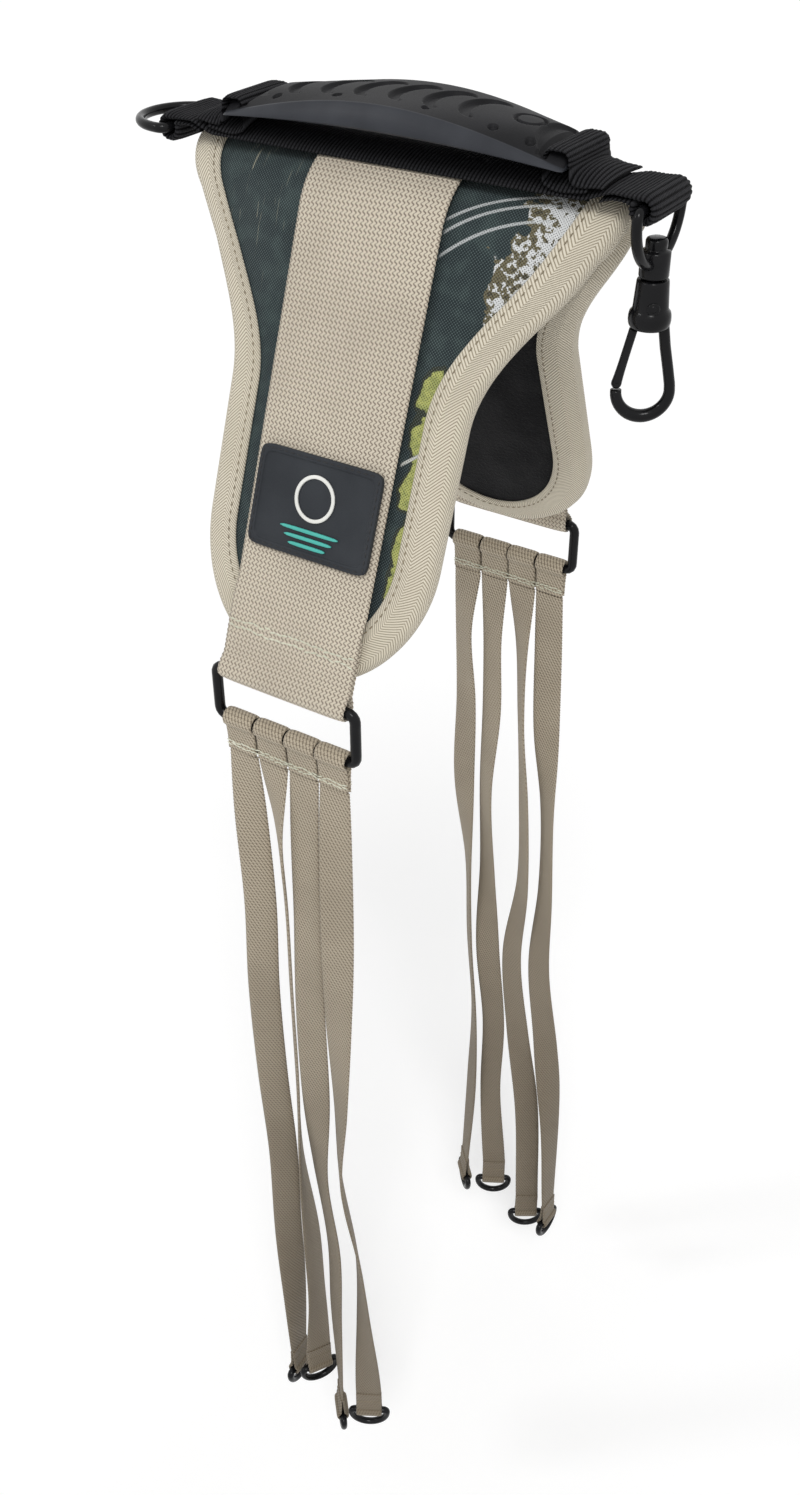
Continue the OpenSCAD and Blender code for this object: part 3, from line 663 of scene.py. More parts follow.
def dPath(half, leg, corner):
    # a D as (across, up) rows: flat bar through the origin, rounded corners, bow hanging down
    bar = np.linspace(corner - half, half - corner, 8)[1:-1]
    return np.concatenate([arcLine((half - corner, -corner), corner, math.pi / 2, 0, 9),
                           arcLine((0, -leg), half, 0, -math.pi, 49),
                           arcLine((corner - half, -corner), corner, math.pi, math.pi / 2, 9),
                           np.stack([bar, 0 * bar], 1)])


def makeStrand(end, number, route):
    # the ribbon follows a cubic curve through its route's points, and its turn does the same
    flip = -1.0 if end == "front" else 1.0
    knots = -np.array([p[2] for p in route], float)
    values = np.array([[p[0], flip * barY + p[1], hingeZ + p[2], p[3]] for p in route], float)
    where = np.linspace(0.0, knots[-1], int(knots[-1] / strand["step"]))
    line = smoothThrough(knots, values, where)
    path, turn = line[:, :3], np.radians(line[:, 3])
    # the top edge is a half round about the hinge line, so it turns in place under the header
    nose = np.linspace(0.15, math.pi / 2, 7)[:-1]
    half = strand["thick"] / 2
    top = path[0] + half * np.cos(nose)[:, None] * upright
    path, turn = np.concatenate([top, path]), np.concatenate([0 * nose, turn])
    thick = np.concatenate([2 * half * np.sin(nose), np.full(len(where), strand["thick"])])
    side = np.stack([np.cos(turn), np.sin(turn), np.zeros(len(turn))], 1)
    grid, uv = strapGrid(path, side, strand["width"], thick, 9, ripple=0.12, ripplePitch=1.3)
    body = f"{end}_line_{number}"
    ribbon = tubePiece(f"{end}Strand{number}", [(grid, uv, False)], strandWebbing, body,
                       [f"{end}_strand_{number}"])
    # end tab: the ribbon's end folded round the ring and sewn to itself
    tail, across = path[-1], side[-1]
    out = np.array([-across[1], across[0], 0.0])
    loopR = strand["ringWire"] / 2 + strand["foldGap"]
    low = -strand["tabLength"]
    ply = np.array([[0.62, 1.2], [0.64, -2.0], [0.70, -5.0], [1.0, low + 4.6]])
    bend = arcLine((0, low), loopR, math.radians(65), math.radians(-245), 22)
    outline = evenly(np.concatenate([ply, bend, ply[::-1] * [-1, 1]]), 0.5)
    grid, uv = strapGrid(laid(outline, tail, out), across, strand["width"], strand["tabThick"], 9,
                         ripple=0.1, ripplePitch=1.3)
    tab = tubePiece(f"{end}Tab{number}", [(grid, uv, False)], strandWebbing, body,
                    [f"{end}_tab_{number}"])
    seam = np.linspace(-strand["seamHalf"], strand["seamHalf"], 7)
    places = np.concatenate([tail - strand["seamDrop"] * upright + seam[:, None] * across + g * 1.32 * out
                             for g in (-1, 1)])
    outward = np.concatenate([np.tile(g * out, (len(seam), 1)) for g in (-1, 1)])
    sewn = stitchPiece(f"{end}TabStitch{number}", places, across, outward, (1.3, 0.42, 0.34), tapeThread,
                       body)
    ringPath = laid(dPath(strand["ringHalf"], strand["ringLeg"], strand["ringCorner"]),
                    tail + low * upright, across)
    ring = metalPiece(f"{end}EndRing{number}", [wireGrid(ringPath, out, strand["ringWire"] / 2, True)],
                      f"{end}_loop_{number}", f"{end}_end_ring_{number}")


for endName, rows in routes.items():
    for count, route in enumerate(rows, 1):
        makeStrand(endName, count, route)
print("strands made")


# pad: cover, foam and lining
pad = {"rowStep": 3.0, "columns": 45, "endRows": 16, "pressure": 4.0, "coverCap": 1.3, "liningCap": 2.4,
       "frames": 20, "coverThick": 1.1, "coreShare": 0.62}


def padRows():
    # rows down the panel: length along it, and half width there, at the rim
    body = np.linspace(0, bodyEnd, int(bodyEnd / pad["rowStep"]) + 1)
    bend = np.linspace(0, math.radians(84), pad["endRows"] + 1)[1:]
    s = np.concatenate([body, bodyEnd + saddle["endLength"] * np.sin(bend)])
    w = np.concatenate([halfWidth(body), saddle["lowWidth"] / 2 * np.cos(bend)])
    return np.concatenate([-s[:0:-1], s]), np.concatenate([w[:0:-1], w])


def puff(points, faces, held):
    # cloth simulation: air pressure swells the closed pad between the seams that hold it
    mesh = bpy.data.meshes.new("padForm")
    mesh.from_pydata((points * mm).tolist(), [], faces)
    mesh.update()
    obj = bpy.data.objects.new("padForm", mesh)
    scene.collection.objects.link(obj)
    group = obj.vertex_groups.new(name="held")
    group.add(np.nonzero(held)[0].tolist(), 1.0, "REPLACE")
    cloth = obj.modifiers.new("puff", "CLOTH")
    cloth.settings.quality = 5
    cloth.settings.use_pressure = True
    cloth.settings.uniform_pressure_force = pad["pressure"]
    cloth.settings.effector_weights.gravity = 0
    cloth.settings.vertex_group_mass = "held"
    cloth.point_cache.frame_end = pad["frames"]
    for number in range(1, pad["frames"] + 1):
        scene.frame_set(number)
    done = obj.evaluated_get(bpy.context.evaluated_depsgraph_get()).to_mesh()
    swollen = np.empty(len(done.vertices) * 3)
    done.vertices.foreach_get("co", swollen)
    bpy.data.objects.remove(obj)
    scene.frame_set(1)
    return swollen.reshape(-1, 3) / mm


def printFields(x, s):
    # signed distances of the print's shapes, in millimetres, positive inside
    t = np.abs(s)
    flip = np.where(s < 0, 1.0, -1.0)
    middle = np.interp(t, [0, 20, 60, 100, 150], [55, 60, 50, 39, 36])
    reach = np.interp(t, [0, 14, 40, 70, 100, 165], [3, 12, 13, 7, 4, 2])
    bark = reach - np.abs(x * flip - middle)
    second = 13 - np.hypot(x * flip + 50, (t - 62) / 2.2)
    bark = np.where(s > 0, np.maximum(bark, second), bark)
    leaves = [(31, 70, 4.0, 7.0, 20), (35, 79, 5.0, 4.5, 0), (30, 85, 3.6, 5.0, -20), (31, 98, 4.2, 8.0, 12),
              (32, 117, 3.4, 9.0, 8), (31, 133, 2.8, 6.0, 0)]
    leaf = np.full(x.shape, -50.0)
    for cx, cs, rx, rs, tilt in leaves:
        a = math.radians(tilt)
        dx, ds = x * flip - cx, t - cs
        u, v = dx * math.cos(a) + ds * math.sin(a), ds * math.cos(a) - dx * math.sin(a)
        leaf = np.maximum(leaf, (1 - np.hypot(u / rx, v / rs)) * rx)
    twig = t - (92 - (x * flip - 27) * 0.75)
    twigReach = np.minimum(x * flip - 25, 12 - np.abs(t - 86))
    sweep = np.hypot(x * flip - 75, t - 90)
    grass = np.clip(1.2 - np.hypot((x * flip + 52) / 26, (t - 26) / 30), 0, 1)
    return {"barkField": bark, "leafField": leaf, "twigField": twig, "twigReach": twigReach,
            "grassField": grass, "arcField": sweep - 76.8, "arcFieldTwo": sweep - 82,
            "arcFieldThree": sweep - 85, "arcReach": np.minimum(x * flip - 24, 58 - x * flip)}


def makePad():
    # top and underside are the saddle's surface at two depths, joined by a wall along the rim
    s, w = padRows()
    across = np.linspace(-1, 1, pad["columns"])
    x = w[:, None] * across
    sGrid = np.broadcast_to(s[:, None], x.shape)
    ends = np.maximum(0.0, np.abs(sGrid) - bodyEnd)
    inset = np.minimum(w[:, None] * (1 - np.abs(across)), saddle["endLength"] - ends)
    top, under = onPad(x, sGrid, 0.02, inset), onPad(x, sGrid, saddle["thick"], inset)
    rows, columns = x.shape
    count = rows * columns
    rim = np.concatenate([np.arange(columns), np.arange(2 * columns - 1, count, columns),
                          np.arange(count - 2, count - columns - 1, -1),
                          np.arange(count - 2 * columns, 0, -columns)])
    quads = gridQuads(rows, columns)
    nextRim = np.roll(rim, -1)
    edge = np.stack([nextRim, rim, rim + count, nextRim + count], 1)
    faces = np.concatenate([quads, quads[:, ::-1] + count, edge]).tolist()
    points = np.concatenate([top.reshape(-1, 3), under.reshape(-1, 3)])
    nearRim = inset.ravel() < saddle["tapeWidth"] - 1
    underStrap = np.abs(x.ravel()) < saddle["strapWidth"] / 2 + 1
    held = np.concatenate([nearRim | underStrap, nearRim])
    moved = puff(points, faces, held) - points
    cap = np.concatenate([np.full(count, pad["coverCap"]), np.full(count, pad["liningCap"])])[:, None]
    size = np.linalg.norm(moved, axis=1, keepdims=True)
    points = points + moved * np.minimum(1.0, cap / np.maximum(size, 1e-9))
    uv = np.stack([x, sGrid], -1)
    fields = printFields(x, sGrid)
    cover = addPiece("printedCover", points[:count], quads.tolist(), printFabric, "saddle", ["outer_cover"],
                     uv, fields)
    lining = addPiece("fleeceLining", points[count:], quads[:, ::-1].tolist(), fleece, "saddle",
                      ["inner_lining"], uv)
    middle = (points[:count] + points[count:]) / 2
    core = np.concatenate([middle + (face - middle) * pad["coreShare"]
                           for face in (points[:count], points[count:])])
    core = addPiece("foamCore", core, faces, foam, "saddle", ["foam_core"])
    for piece, outward in ((cover, 1), (lining, -1)):
        faceOut(piece, outward)
        smooth = piece.modifiers.new("smooth", "SUBSURF")
        smooth.levels = smooth.render_levels = 1
        wall = piece.modifiers.new("wall", "SOLIDIFY")
        wall.thickness = pad["coverThick"] * mm
        wall.offset = -1


def faceOut(obj, sign):
    # an open sheet has no outside of its own: the cover faces up at the ridge and the lining down
    mesh = obj.data
    normals = np.empty(len(mesh.polygons) * 3)
    centres = np.empty(len(mesh.polygons) * 3)
    mesh.polygons.foreach_get("normal", normals)
    mesh.polygons.foreach_get("center", centres)
    middle = int(np.argmax(centres.reshape(-1, 3)[:, 2]))
    if normals.reshape(-1, 3)[middle, 2] * sign < 0:
        mesh.flip_normals()


makePad()
print("pad made")


# binding tape round the pad's edge
binding = {"bodyStep": 1.6, "endSteps": 44, "bulge": 0.7, "stitchIn": 8.6, "stitchPitch": 2.7,
           "stitch": (1.5, 0.5, 0.34)}


def rimLine(d):
    # the pad's outline, moved in by d: rows of (x, s), once round
    body = np.linspace(0, bodyEnd, int(bodyEnd / binding["bodyStep"]) + 1)
    bend = np.linspace(0, math.pi / 2, binding["endSteps"] + 1)[1:]
    s = np.concatenate([body, bodyEnd + (saddle["endLength"] - d) * np.sin(bend)])
    x = np.concatenate([halfWidth(body) - d, (saddle["lowWidth"] / 2 - d) * np.cos(bend)])
    down = np.stack([x, s], 1)
    quarter = [down, down[::-1][1:] * [-1, 1], down[1:] * [-1, -1], down[::-1][1:-1] * [1, -1]]
    return np.concatenate(quarter)


def makeBinding():
    # section: (distance in from the edge, depth below the cover), outer skin then inner skin
    wide, deep, out = saddle["tapeWidth"], saddle["thick"], binding["bulge"]
    skin = np.array([[wide, -0.55], [wide - 0.4, -1.05], [wide * 0.75, -1.2], [wide * 0.5, -1.25],
                     [2.6, -1.2], [0.6, -0.9], [-0.7, -0.1], [-1.1 - out * 0.4, 1.6],
                     [-1.1 - out, deep * 0.5],
                     [-1.1 - out * 0.4, deep - 1.4], [-0.7, deep + 0.4], [0.6, deep + 1.3], [2.6, deep + 1.7],
                     [wide * 0.5, deep + 1.75], [wide * 0.75, deep + 1.65], [wide - 0.4, deep + 1.5],
                     [wide, deep + 0.9]])
    inner = np.array([[wide, deep + 0.5], [wide * 0.5, deep + 0.6], [0.4, deep + 0.4], [-0.3, deep * 0.6],
                      [-0.3, deep * 0.3], [0.4, -0.3], [wide * 0.5, -0.3], [wide, -0.25]])
    section = np.concatenate([skin, inner])
    girth = np.concatenate([lengthsAlong(skin), np.interp(np.linspace(1, 0, len(inner)), [0, 1],
                                                          [0, lengthsAlong(skin)[-1]])])
    lines = np.stack([rimLine(d) for d in section[:, 0]], 1)
    grid = onPad(lines[..., 0], lines[..., 1], section[:, 1], section[:, 0])
    middle = onPad(*rimLine(0.0).T, 0.0, 0.0)
    around = lengthsAlong(np.concatenate([middle, middle[:1]]))[:-1]
    uv = np.stack(np.broadcast_arrays(girth[None, :], around[:, None]), -1)
    tubePiece("bindingTape", [(grid, uv, True)], bindingTape, "saddle", ["edge_binding"])
    line = rimLine(binding["stitchIn"])
    for label, depth, sign in (("bindingStitchOuter", -1.28, 1), ("bindingStitchInner", deep + 1.8, -1)):
        track = evenly(np.concatenate([line, line[:1]]), binding["stitchPitch"])[:-1]
        here = onPad(track[:, 0], track[:, 1], depth, binding["stitchIn"])
        forward = np.roll(here, -1, 0) - np.roll(here, 1, 0)
        above = onPad(track[:, 0], track[:, 1], depth - sign * 1.0, binding["stitchIn"]) - here
        stitchPiece(label, here, forward, above, binding["stitch"], tapeThread, "saddle")


makeBinding()
print("binding made")


# main strap
mainStrap = {"step": 0.55, "lap": 18.0, "loop": 2.9, "seamHalf": 23.5, "seamPitch": 2.35,
             "seamRows": (12.0, 9.6), "stitch": (2.3, 0.62, 0.5)}


def mainStrapLine():
    # (s, height) down the back: from the ridge, out to the bar, round it, and back up under itself
    lapTop = saddle["padHalf"] - mainStrap["lap"]
    low, half = strapMid, saddle["strapThick"] / 2
    loop = arcLine((barAlong, low), mainStrap["loop"], math.radians(112), math.radians(-112), 28)
    start = np.array([[0.0, low - half], [lapTop - 8, low - half], [lapTop - 1, low + half],
                      [saddle["padHalf"], low + half], [barAlong - 4.2, low + half + 1.0]])
    back = np.array([[barAlong - 4.2, low - half - 1.0], [saddle["padHalf"] + 1, low - half],
                     [lapTop, low - half]])
    return np.concatenate([start, loop, back])


def makeMainStrap():
    # the side view is eased with a bell-shaped running mean, then laid on the saddle
    side = evenly(mainStrapLine(), mainStrap["step"])
    line = np.concatenate([side[::-1] * [-1, 1], side[1:]])
    kernel = np.hanning(9) / np.hanning(9).sum()
    padded = np.pad(line, ((4, 4), (0, 0)), mode="edge")
    line = np.stack([np.convolve(padded[:, k], kernel, mode="valid") for k in (0, 1)], 1)
    path = onSaddle(0.0, line[:, 0], line[:, 1])
    grid, uv = strapGrid(path, acrossX, saddle["strapWidth"], saddle["strapThick"] * 0.96, 15, ripple=0.16)
    tubePiece("mainStrap", [(grid, uv, False)], tanWebbing, "saddle", ["main_webbing"])
    rng = np.random.default_rng(7)
    for label, flip in (("crossStitchFront", -1.0), ("crossStitchBack", 1.0)):
        x = np.tile(np.arange(-mainStrap["seamHalf"], mainStrap["seamHalf"] + 0.1, mainStrap["seamPitch"]), 2)
        s = np.repeat([saddle["padHalf"] - row for row in mainStrap["seamRows"]], len(x) // 2)
        s = flip * (s + rng.uniform(-0.45, 0.45, len(x)))
        here = onSaddle(x, s, strapMid + saddle["strapThick"] + 0.02)
        above = onSaddle(x, s, strapMid + saddle["strapThick"] + 1.0) - here
        forward = np.stack([np.ones(len(x)), np.zeros(len(x)), rng.uniform(-0.35, 0.35, len(x))], 1)
        forward -= (forward * unit(above)).sum(1, keepdims=True) * unit(above)
        stitchPiece(label, here, forward, above, mainStrap["stitch"], paleThread, "saddle")


makeMainStrap()
print("main strap made")


# black webbing
black = {"step": 0.2, "rib": {"pitch": ribPitch, "height": 0.42}, "loopX": 83.0, "loopZ": -15.0, "loop": 3.3,
         "topZ": -11.35}


def crossStrapLine():
    # half of the strap, from the middle out: (x, z, thickness), round the ring and back underneath
    loop = arcLine((black["loopX"], black["loopZ"]), black["loop"], math.radians(100), math.radians(-205), 40)
    loop = np.column_stack([loop, np.full(len(loop), 2.7)])
    start = np.array([[0, black["topZ"], 1.4], [66, black["topZ"], 1.4], [74, black["topZ"] - 0.2, 1.4],
                      [79, black["topZ"] - 0.35, 1.8]])
    end = np.array([[77.2, -13.2, 1.3], [70, -13.2, 1.2]])
    return np.concatenate([start, loop, end])


def bowDown(grid, share):
    # the middle of the webbing follows the ridge: its edges drop with the square of their distance out
    bend = saddle["ridgeRadius"] + 3.75
    drop = bend - np.sqrt(bend**2 - np.minimum(grid[..., 1] ** 2, 0.9 * bend**2))
    grid[..., 2] -= drop * share * (1 - ease((np.abs(grid[..., 0]) - 64) / 11))


def makeBlackWebbing():
    # both pieces are ribbed straps carried along their side view, which is worked out in X and Z
    half = evenly(crossStrapLine(), black["step"])
    line = np.concatenate([half[::-1] * [-1, 1, 1], half[1:]])
    path = laid(line[:, :2], 0.0, acrossX)
    across = np.array([0, 1.0, 0])
    grid, uv = strapGrid(path, across, saddle["blackWidth"], line[:, 2], 13, rib=black["rib"])
    bowDown(grid, 1.0)
    tubePiece("crossStrap", [(grid, uv, False)], blackWebbing, "saddle", ["cross_strap"])
    loops = []
    for flip in (-1.0, 1.0):
        corner = np.array([[66.5, -9.4], [54.2, -9.35], [52.5, -8.4], [52.35, -6.8], [52.4, -4.4],
                           [53.4, -3.15], [56.2, -2.85], [59.0, -3.2], [60.1, -4.4], [60.2, -6.2],
                           [60.6, -7.2], [61.8, -7.85], [64.5, -8.05], [67.5, -8.5], [70.0, -9.35],
                           [71.2, -9.9]])
        walk = smoothThrough(lengthsAlong(corner), corner, np.linspace(0, lengthsAlong(corner)[-1], 260))
        path = evenly(laid(walk, 0.0, flip * acrossX), black["step"])
        grid, uv = strapGrid(path, across, saddle["blackWidth"], 1.35, 13, rib=black["rib"])
        bowDown(grid, ease((-6.6 - grid[..., 2]) / 1.4))
        loops.append((grid, uv, False))
    tubePiece("handleLoops", loops, blackWebbing, "saddle", ["handle_loops"])


makeBlackWebbing()
print("black webbing made")


# moulded grip
grip = {"half": 59.0, "endWidth": 29.0, "midWidth": 38.0, "thick": 7.6, "endThick": 5.6, "arch": 3.5,
        "lowest": -4.5, "slotIn": 50.1, "slotOut": 53.5, "slotHalf": 13.1, "barTop": -3.6, "cutDepth": 1.25,
        "moons": [-46, -34, -22, -10, 2, 14, 26], "dimples": [-40, -18, 13, 35, 47]}


def makeGrip():
    # smooth sides that taper to nothing at the ends, under a top that domes down to meet them there
    x = np.linspace(-grip["half"], grip["half"], 420)
    share = ((x / grip["half"]) ** 2)[:, None]
    w = (grip["endWidth"] + (grip["midWidth"] - grip["endWidth"]) * (1 - share)) / 2
    low = grip["lowest"] - grip["arch"] * share
    tall = grip["thick"] - (grip["thick"] - grip["endThick"]) * share
    sideTall = (tall - 0.35) * (1 - 0.86 * share)
    side = np.array([[3.2, 0.0], [1.1, 0.02], [0.2, 0.10], [0.0, 0.2], [0.25, 0.36], [1.1, 0.62], [2.2, 0.86],
                     [2.8, 0.97], [3.2, 1.0]])
    knots = np.linspace(0, 1, len(side))
    side = smoothThrough(knots, side, np.linspace(0, 1, 22))
    slope = 0.35 + 0.65 * (1 - share)
    sideY = w - side[:, 0] * slope
    underY = np.linspace(0, 1, 8)[:-1] * sideY[:, :1]
    edge = sideY[:, -1:]
    topY = np.linspace(1, 0, 52)[1:] * edge
    crown = sideTall + (tall - sideTall) * (1 - (topY / edge) ** 2.4)
    y = np.concatenate([underY, sideY, topY], 1)
    z = np.concatenate([0 * underY, sideTall * side[:, 1], crown], 1)
    isTop = np.arange(y.shape[1]) >= underY.shape[1] + sideY.shape[1]
    y = np.concatenate([y, -y[:, -2:0:-1]], 1)
    z = np.concatenate([z, z[:, -2:0:-1]], 1)
    isTop = np.broadcast_to(np.concatenate([isTop, isTop[-2:0:-1]]), y.shape)
    xx = np.broadcast_to(x[:, None], y.shape)
    cut = np.zeros(y.shape)
    for cx in grip["moons"]:
        # a crescent is what is inside one circle and outside a second one set to its right
        first = np.hypot(xx - cx, (y - 1.0) * 0.68)
        second = np.hypot(xx - cx - 3.8, (y + 0.8) * 0.68)
        cut = np.maximum(cut, ease((7.2 - first) / 0.7) * ease((second - 5.8) / 0.7))
    cut = np.maximum(cut, 0.8 * ease((0.8 - np.abs(np.hypot(xx - 40.5, y - 1.5) - 4.4)) / 0.5))
    for cx in grip["dimples"]:
        cut = np.maximum(cut, 1.1 * ease((1.7 - np.hypot(xx - cx, y + 10.5)) / 0.6))
    moonEnd = np.hypot(np.abs(xx) - 52.5, y * 0.55)
    cut = np.maximum(cut, 1.1 * ease((7.0 - moonEnd) / 0.8) * (np.abs(xx) < 51))
    inside = ease((edge - 0.6 - np.abs(y)) / 1.0)
    z = z - np.where(isTop, cut * grip["cutDepth"] * inside, 0.0) + low
    inSlot = isTop & (np.abs(y) < grip["slotHalf"]) & (np.abs(xx) > grip["slotIn"])
    z = np.where(inSlot, np.minimum(z, grip["barTop"]), z)
    z = np.where(inSlot & (np.abs(xx) < grip["slotOut"]), low + 0.7, z)
    pull = 1 - 0.05 * np.clip((np.abs(x) - grip["half"] + 1.6) / 1.6, 0, 1)[:, None] ** 2
    grid = np.stack([xx, y * pull, low + (z - low) * pull], -1)
    tubePiece("mouldedGrip", [(grid, np.stack([xx, y], -1), False)], gripRubber, "saddle", ["grip_handle"],
              {"topFace": isTop})


makeGrip()
print("grip made")


# label on the front panel
label = {"width": 46.0, "height": 32.4, "thick": 1.8, "at": 113.0, "rim": 2.2, "ringUp": 3.0, "bars": 3,
         "stitchIn": 1.15, "stitch": (1.7, 0.5, 0.36)}
labelSpot = np.float64(-label["at"])
labelFoot = onSaddle(0.0, labelSpot, 0.0)
labelCentre = onSaddle(0.0, labelSpot, strapMid + 0.05)
labelUp = unit(onSaddle(0.0, labelSpot + 5, 0.0) - labelFoot)
labelOut = unit(onSaddle(0.0, labelSpot, 5.0) - labelFoot)


def onLabel(x, y, h):
    # x across the label, y up it and h out of it, from its centre on the strap
    flat = np.stack(np.broadcast_arrays(x, y, h), -1)
    return labelCentre + flat @ np.stack([acrossX, labelUp, labelOut])


def platePoints(rows, width, height):
    # nested rings of a superellipse, whose power of 14 leaves small round corners:
    # each row gives how far its ring is moved in, and how high it stands
    turn = np.linspace(0, 2 * math.pi, 128, endpoint=False)
    power = 2.0 / 14.0
    cx = np.sign(np.cos(turn)) * np.abs(np.cos(turn)) ** power * width / 2
    cy = np.sign(np.sin(turn)) * np.abs(np.sin(turn)) ** power * height / 2
    inset = np.array([r[0] for r in rows])[:, None]
    x = cx * (1 - inset / (width / 2))
    y = cy * (1 - inset / (height / 2))
    return onLabel(x, y, np.array([r[1] for r in rows])[:, None]), np.stack([x, y], -1)


def makeLabel():
    t, rim = label["thick"], label["rim"]
    rows = [(16.0, 0.0), (0.1, 0.0), (0.0, 0.3), (0.0, t - 0.3), (0.12, t - 0.08), (0.4, t), (rim - 0.4, t),
            (rim - 0.1, t - 0.08), (rim, t - 0.3), (rim + 0.15, t - 0.48), (rim + 0.5, t - 0.5),
            (16.0, t - 0.5)]
    grid, uv = platePoints(rows, label["width"], label["height"])
    tubePiece("label", [(grid, uv, False)], labelRubber, "saddle", ["label_patch"])
    base = t - 0.45
    turn = np.linspace(0, 2 * math.pi, 72, endpoint=False)
    section = np.array([[6.3, 0.0], [6.3, 0.42], [6.45, 0.6], [7.35, 0.6], [7.5, 0.42], [7.5, 0.0]])
    ring = onLabel(np.cos(turn)[:, None] * section[:, 0],
                   label["ringUp"] + np.sin(turn)[:, None] * section[:, 0], base + section[:, 1])
    tubePiece("labelRing", [(ring, np.zeros((72, 6, 2)), True)], labelPale, "saddle", ["label_ring"])
    bars = []
    for i in range(label["bars"]):
        left, low = -11 + 2 * i, -8.2 - 2.4 * i
        length = 22 - 4 * i
        t2 = np.array([0.0, 0.06, 0.25, 0.5, 0.75, 0.94, 1.0])
        fat = np.array([0.3, 0.8, 1.0, 1.0, 1.0, 0.8, 0.3])
        outline = np.array([[-0.6, 0.0], [-0.6, 0.4], [-0.42, 0.6], [0.42, 0.6], [0.6, 0.4], [0.6, 0.0]])
        bar = onLabel((left + length * t2)[:, None] + 0 * outline[:, 0],
                      low + 0.6 + fat[:, None] * outline[:, 0], base + outline[:, 1] + 0 * t2[:, None])
        bars.append((bar, np.zeros((7, 6, 2)), False))
    tubePiece("labelBars", bars, labelGreen, "saddle", ["label_bars"])
    halfW, halfH = (label[size] / 2 - label["stitchIn"] for size in ("width", "height"))
    alongX, alongY = np.arange(-halfW + 1, halfW - 0.5, 2.5), np.arange(-halfH + 1, halfH - 0.5, 2.5)
    places = np.concatenate([np.stack([alongX, np.full(len(alongX), g * halfH)], 1) for g in (-1, 1)]
                            + [np.stack([np.full(len(alongY), g * halfW), alongY], 1) for g in (-1, 1)])
    ahead = np.concatenate([np.tile(acrossX, (2 * len(alongX), 1)), np.tile(labelUp, (2 * len(alongY), 1))])
    stitchPiece("labelStitch", onLabel(places[:, 0], places[:, 1], t + 0.02), ahead, labelOut,
                label["stitch"], darkThread, "saddle")


makeLabel()
print("label made")


# rings and headers
links = {"corner": 2.8, "loop": 2.85, "ply": 0.72, "seamHalf": 24.0, "seamPitch": 2.0,
         "seamRows": (9.4, 10.6), "seamOut": 1.42, "stitch": (2.2, 0.6, 0.5)}


def boxPath(half, drop, corner):
    # a rounded rectangle as (across, up) rows, top bar through the origin
    centres = [(half - corner, -corner), (corner - half, -corner), (corner - half, corner - drop),
               (half - corner, corner - drop)]
    quarters = [arcLine(centre, corner, q * math.pi / 2, (q + 1) * math.pi / 2, 9)
                for q, centre in enumerate(centres)]
    return evenly(np.concatenate(quarters + [quarters[0][:1]]), 1.2)[:-1]


def makeLinks():
    # each header lane is a strap folded round the ring's lower bar, with its two plies let hang
    half = saddle["strapWidth"] / 2 + 0.8 + saddle["barWire"] / 2
    lane = saddle["strapWidth"] / 4
    rng = np.random.default_rng(11)
    for end, flip in (("front", -1.0), ("back", 1.0)):
        path = laid(boxPath(half, saddle["barGap"], links["corner"]),
                    np.array([0, flip * barY, barZ]), acrossX)
        metalPiece(end + "Ring", [wireGrid(path, (0, 1.0, 0), saddle["barWire"] / 2, True, 18)],
                   end + "_link", end + "_ring")
        lanes = []
        for i in range(4):
            deep = saddle["headLength"] + rng.uniform(-0.5, 0.05, 2)
            lean = rng.uniform(-0.25, 0.25)
            bend = arcLine((0, 0), links["loop"], math.radians(-62), math.radians(242), 26)
            ply = links["ply"]
            outline = np.concatenate([[[ply, -deep[0]], [ply, -8.0], [1.0, -5.0]], bend,
                                      [[-1.0, -5.0], [-ply, -8.0], [-ply, -deep[1]]]])
            outline = evenly(outline, 0.5)
            x = (i - 1.5) * lane + lean + 0.02 * outline[:, 1] * lean
            walk = np.stack([x, flip * barY + outline[:, 0], lowZ + outline[:, 1]], 1)
            grid, uv = strapGrid(walk, acrossX, lane - 0.5, 1.3, 9, ripple=0.1, ripplePitch=1.3)
            lanes.append((grid, uv, False))
        tubePiece(end + "Header", lanes, strandWebbing, end + "_head", [end + "_header"])
        x = np.tile(np.arange(-links["seamHalf"], links["seamHalf"] + 0.1, links["seamPitch"]), 2)
        z = lowZ - np.repeat(links["seamRows"], len(x) // 2) + rng.uniform(-0.35, 0.35, len(x))
        faces = (flip * barY + flip * links["seamOut"], flip * barY - flip * links["seamOut"])
        places = np.concatenate([np.stack([x, np.full(len(x), y), z], 1) for y in faces])
        ahead = np.stack([np.ones(len(places)), np.zeros(len(places)),
                          rng.uniform(-0.4, 0.4, len(places))], 1)
        above = np.repeat([[0, flip, 0], [0, -flip, 0]], len(x), 0)
        stitchPiece(end + "HeaderStitch", places, ahead, above, links["stitch"], paleThread, end + "_head")


makeLinks()
print("rings and headers made")


# D rings and snap hook
dRing = {"half": 14.6, "leg": 3.0, "corner": 2.6, "wire": 3.2}
hook = {"wire": 3.3, "bow": 8.0, "turn": 33.0, "seamZ": -36.5, "rivetDrop": 7.6, "collarZ": -51.1,
        "bowZ": -70.6, "gateZ": -68.2, "gateLean": 12.5, "gateBall": 1.6, "legX": 4.2}


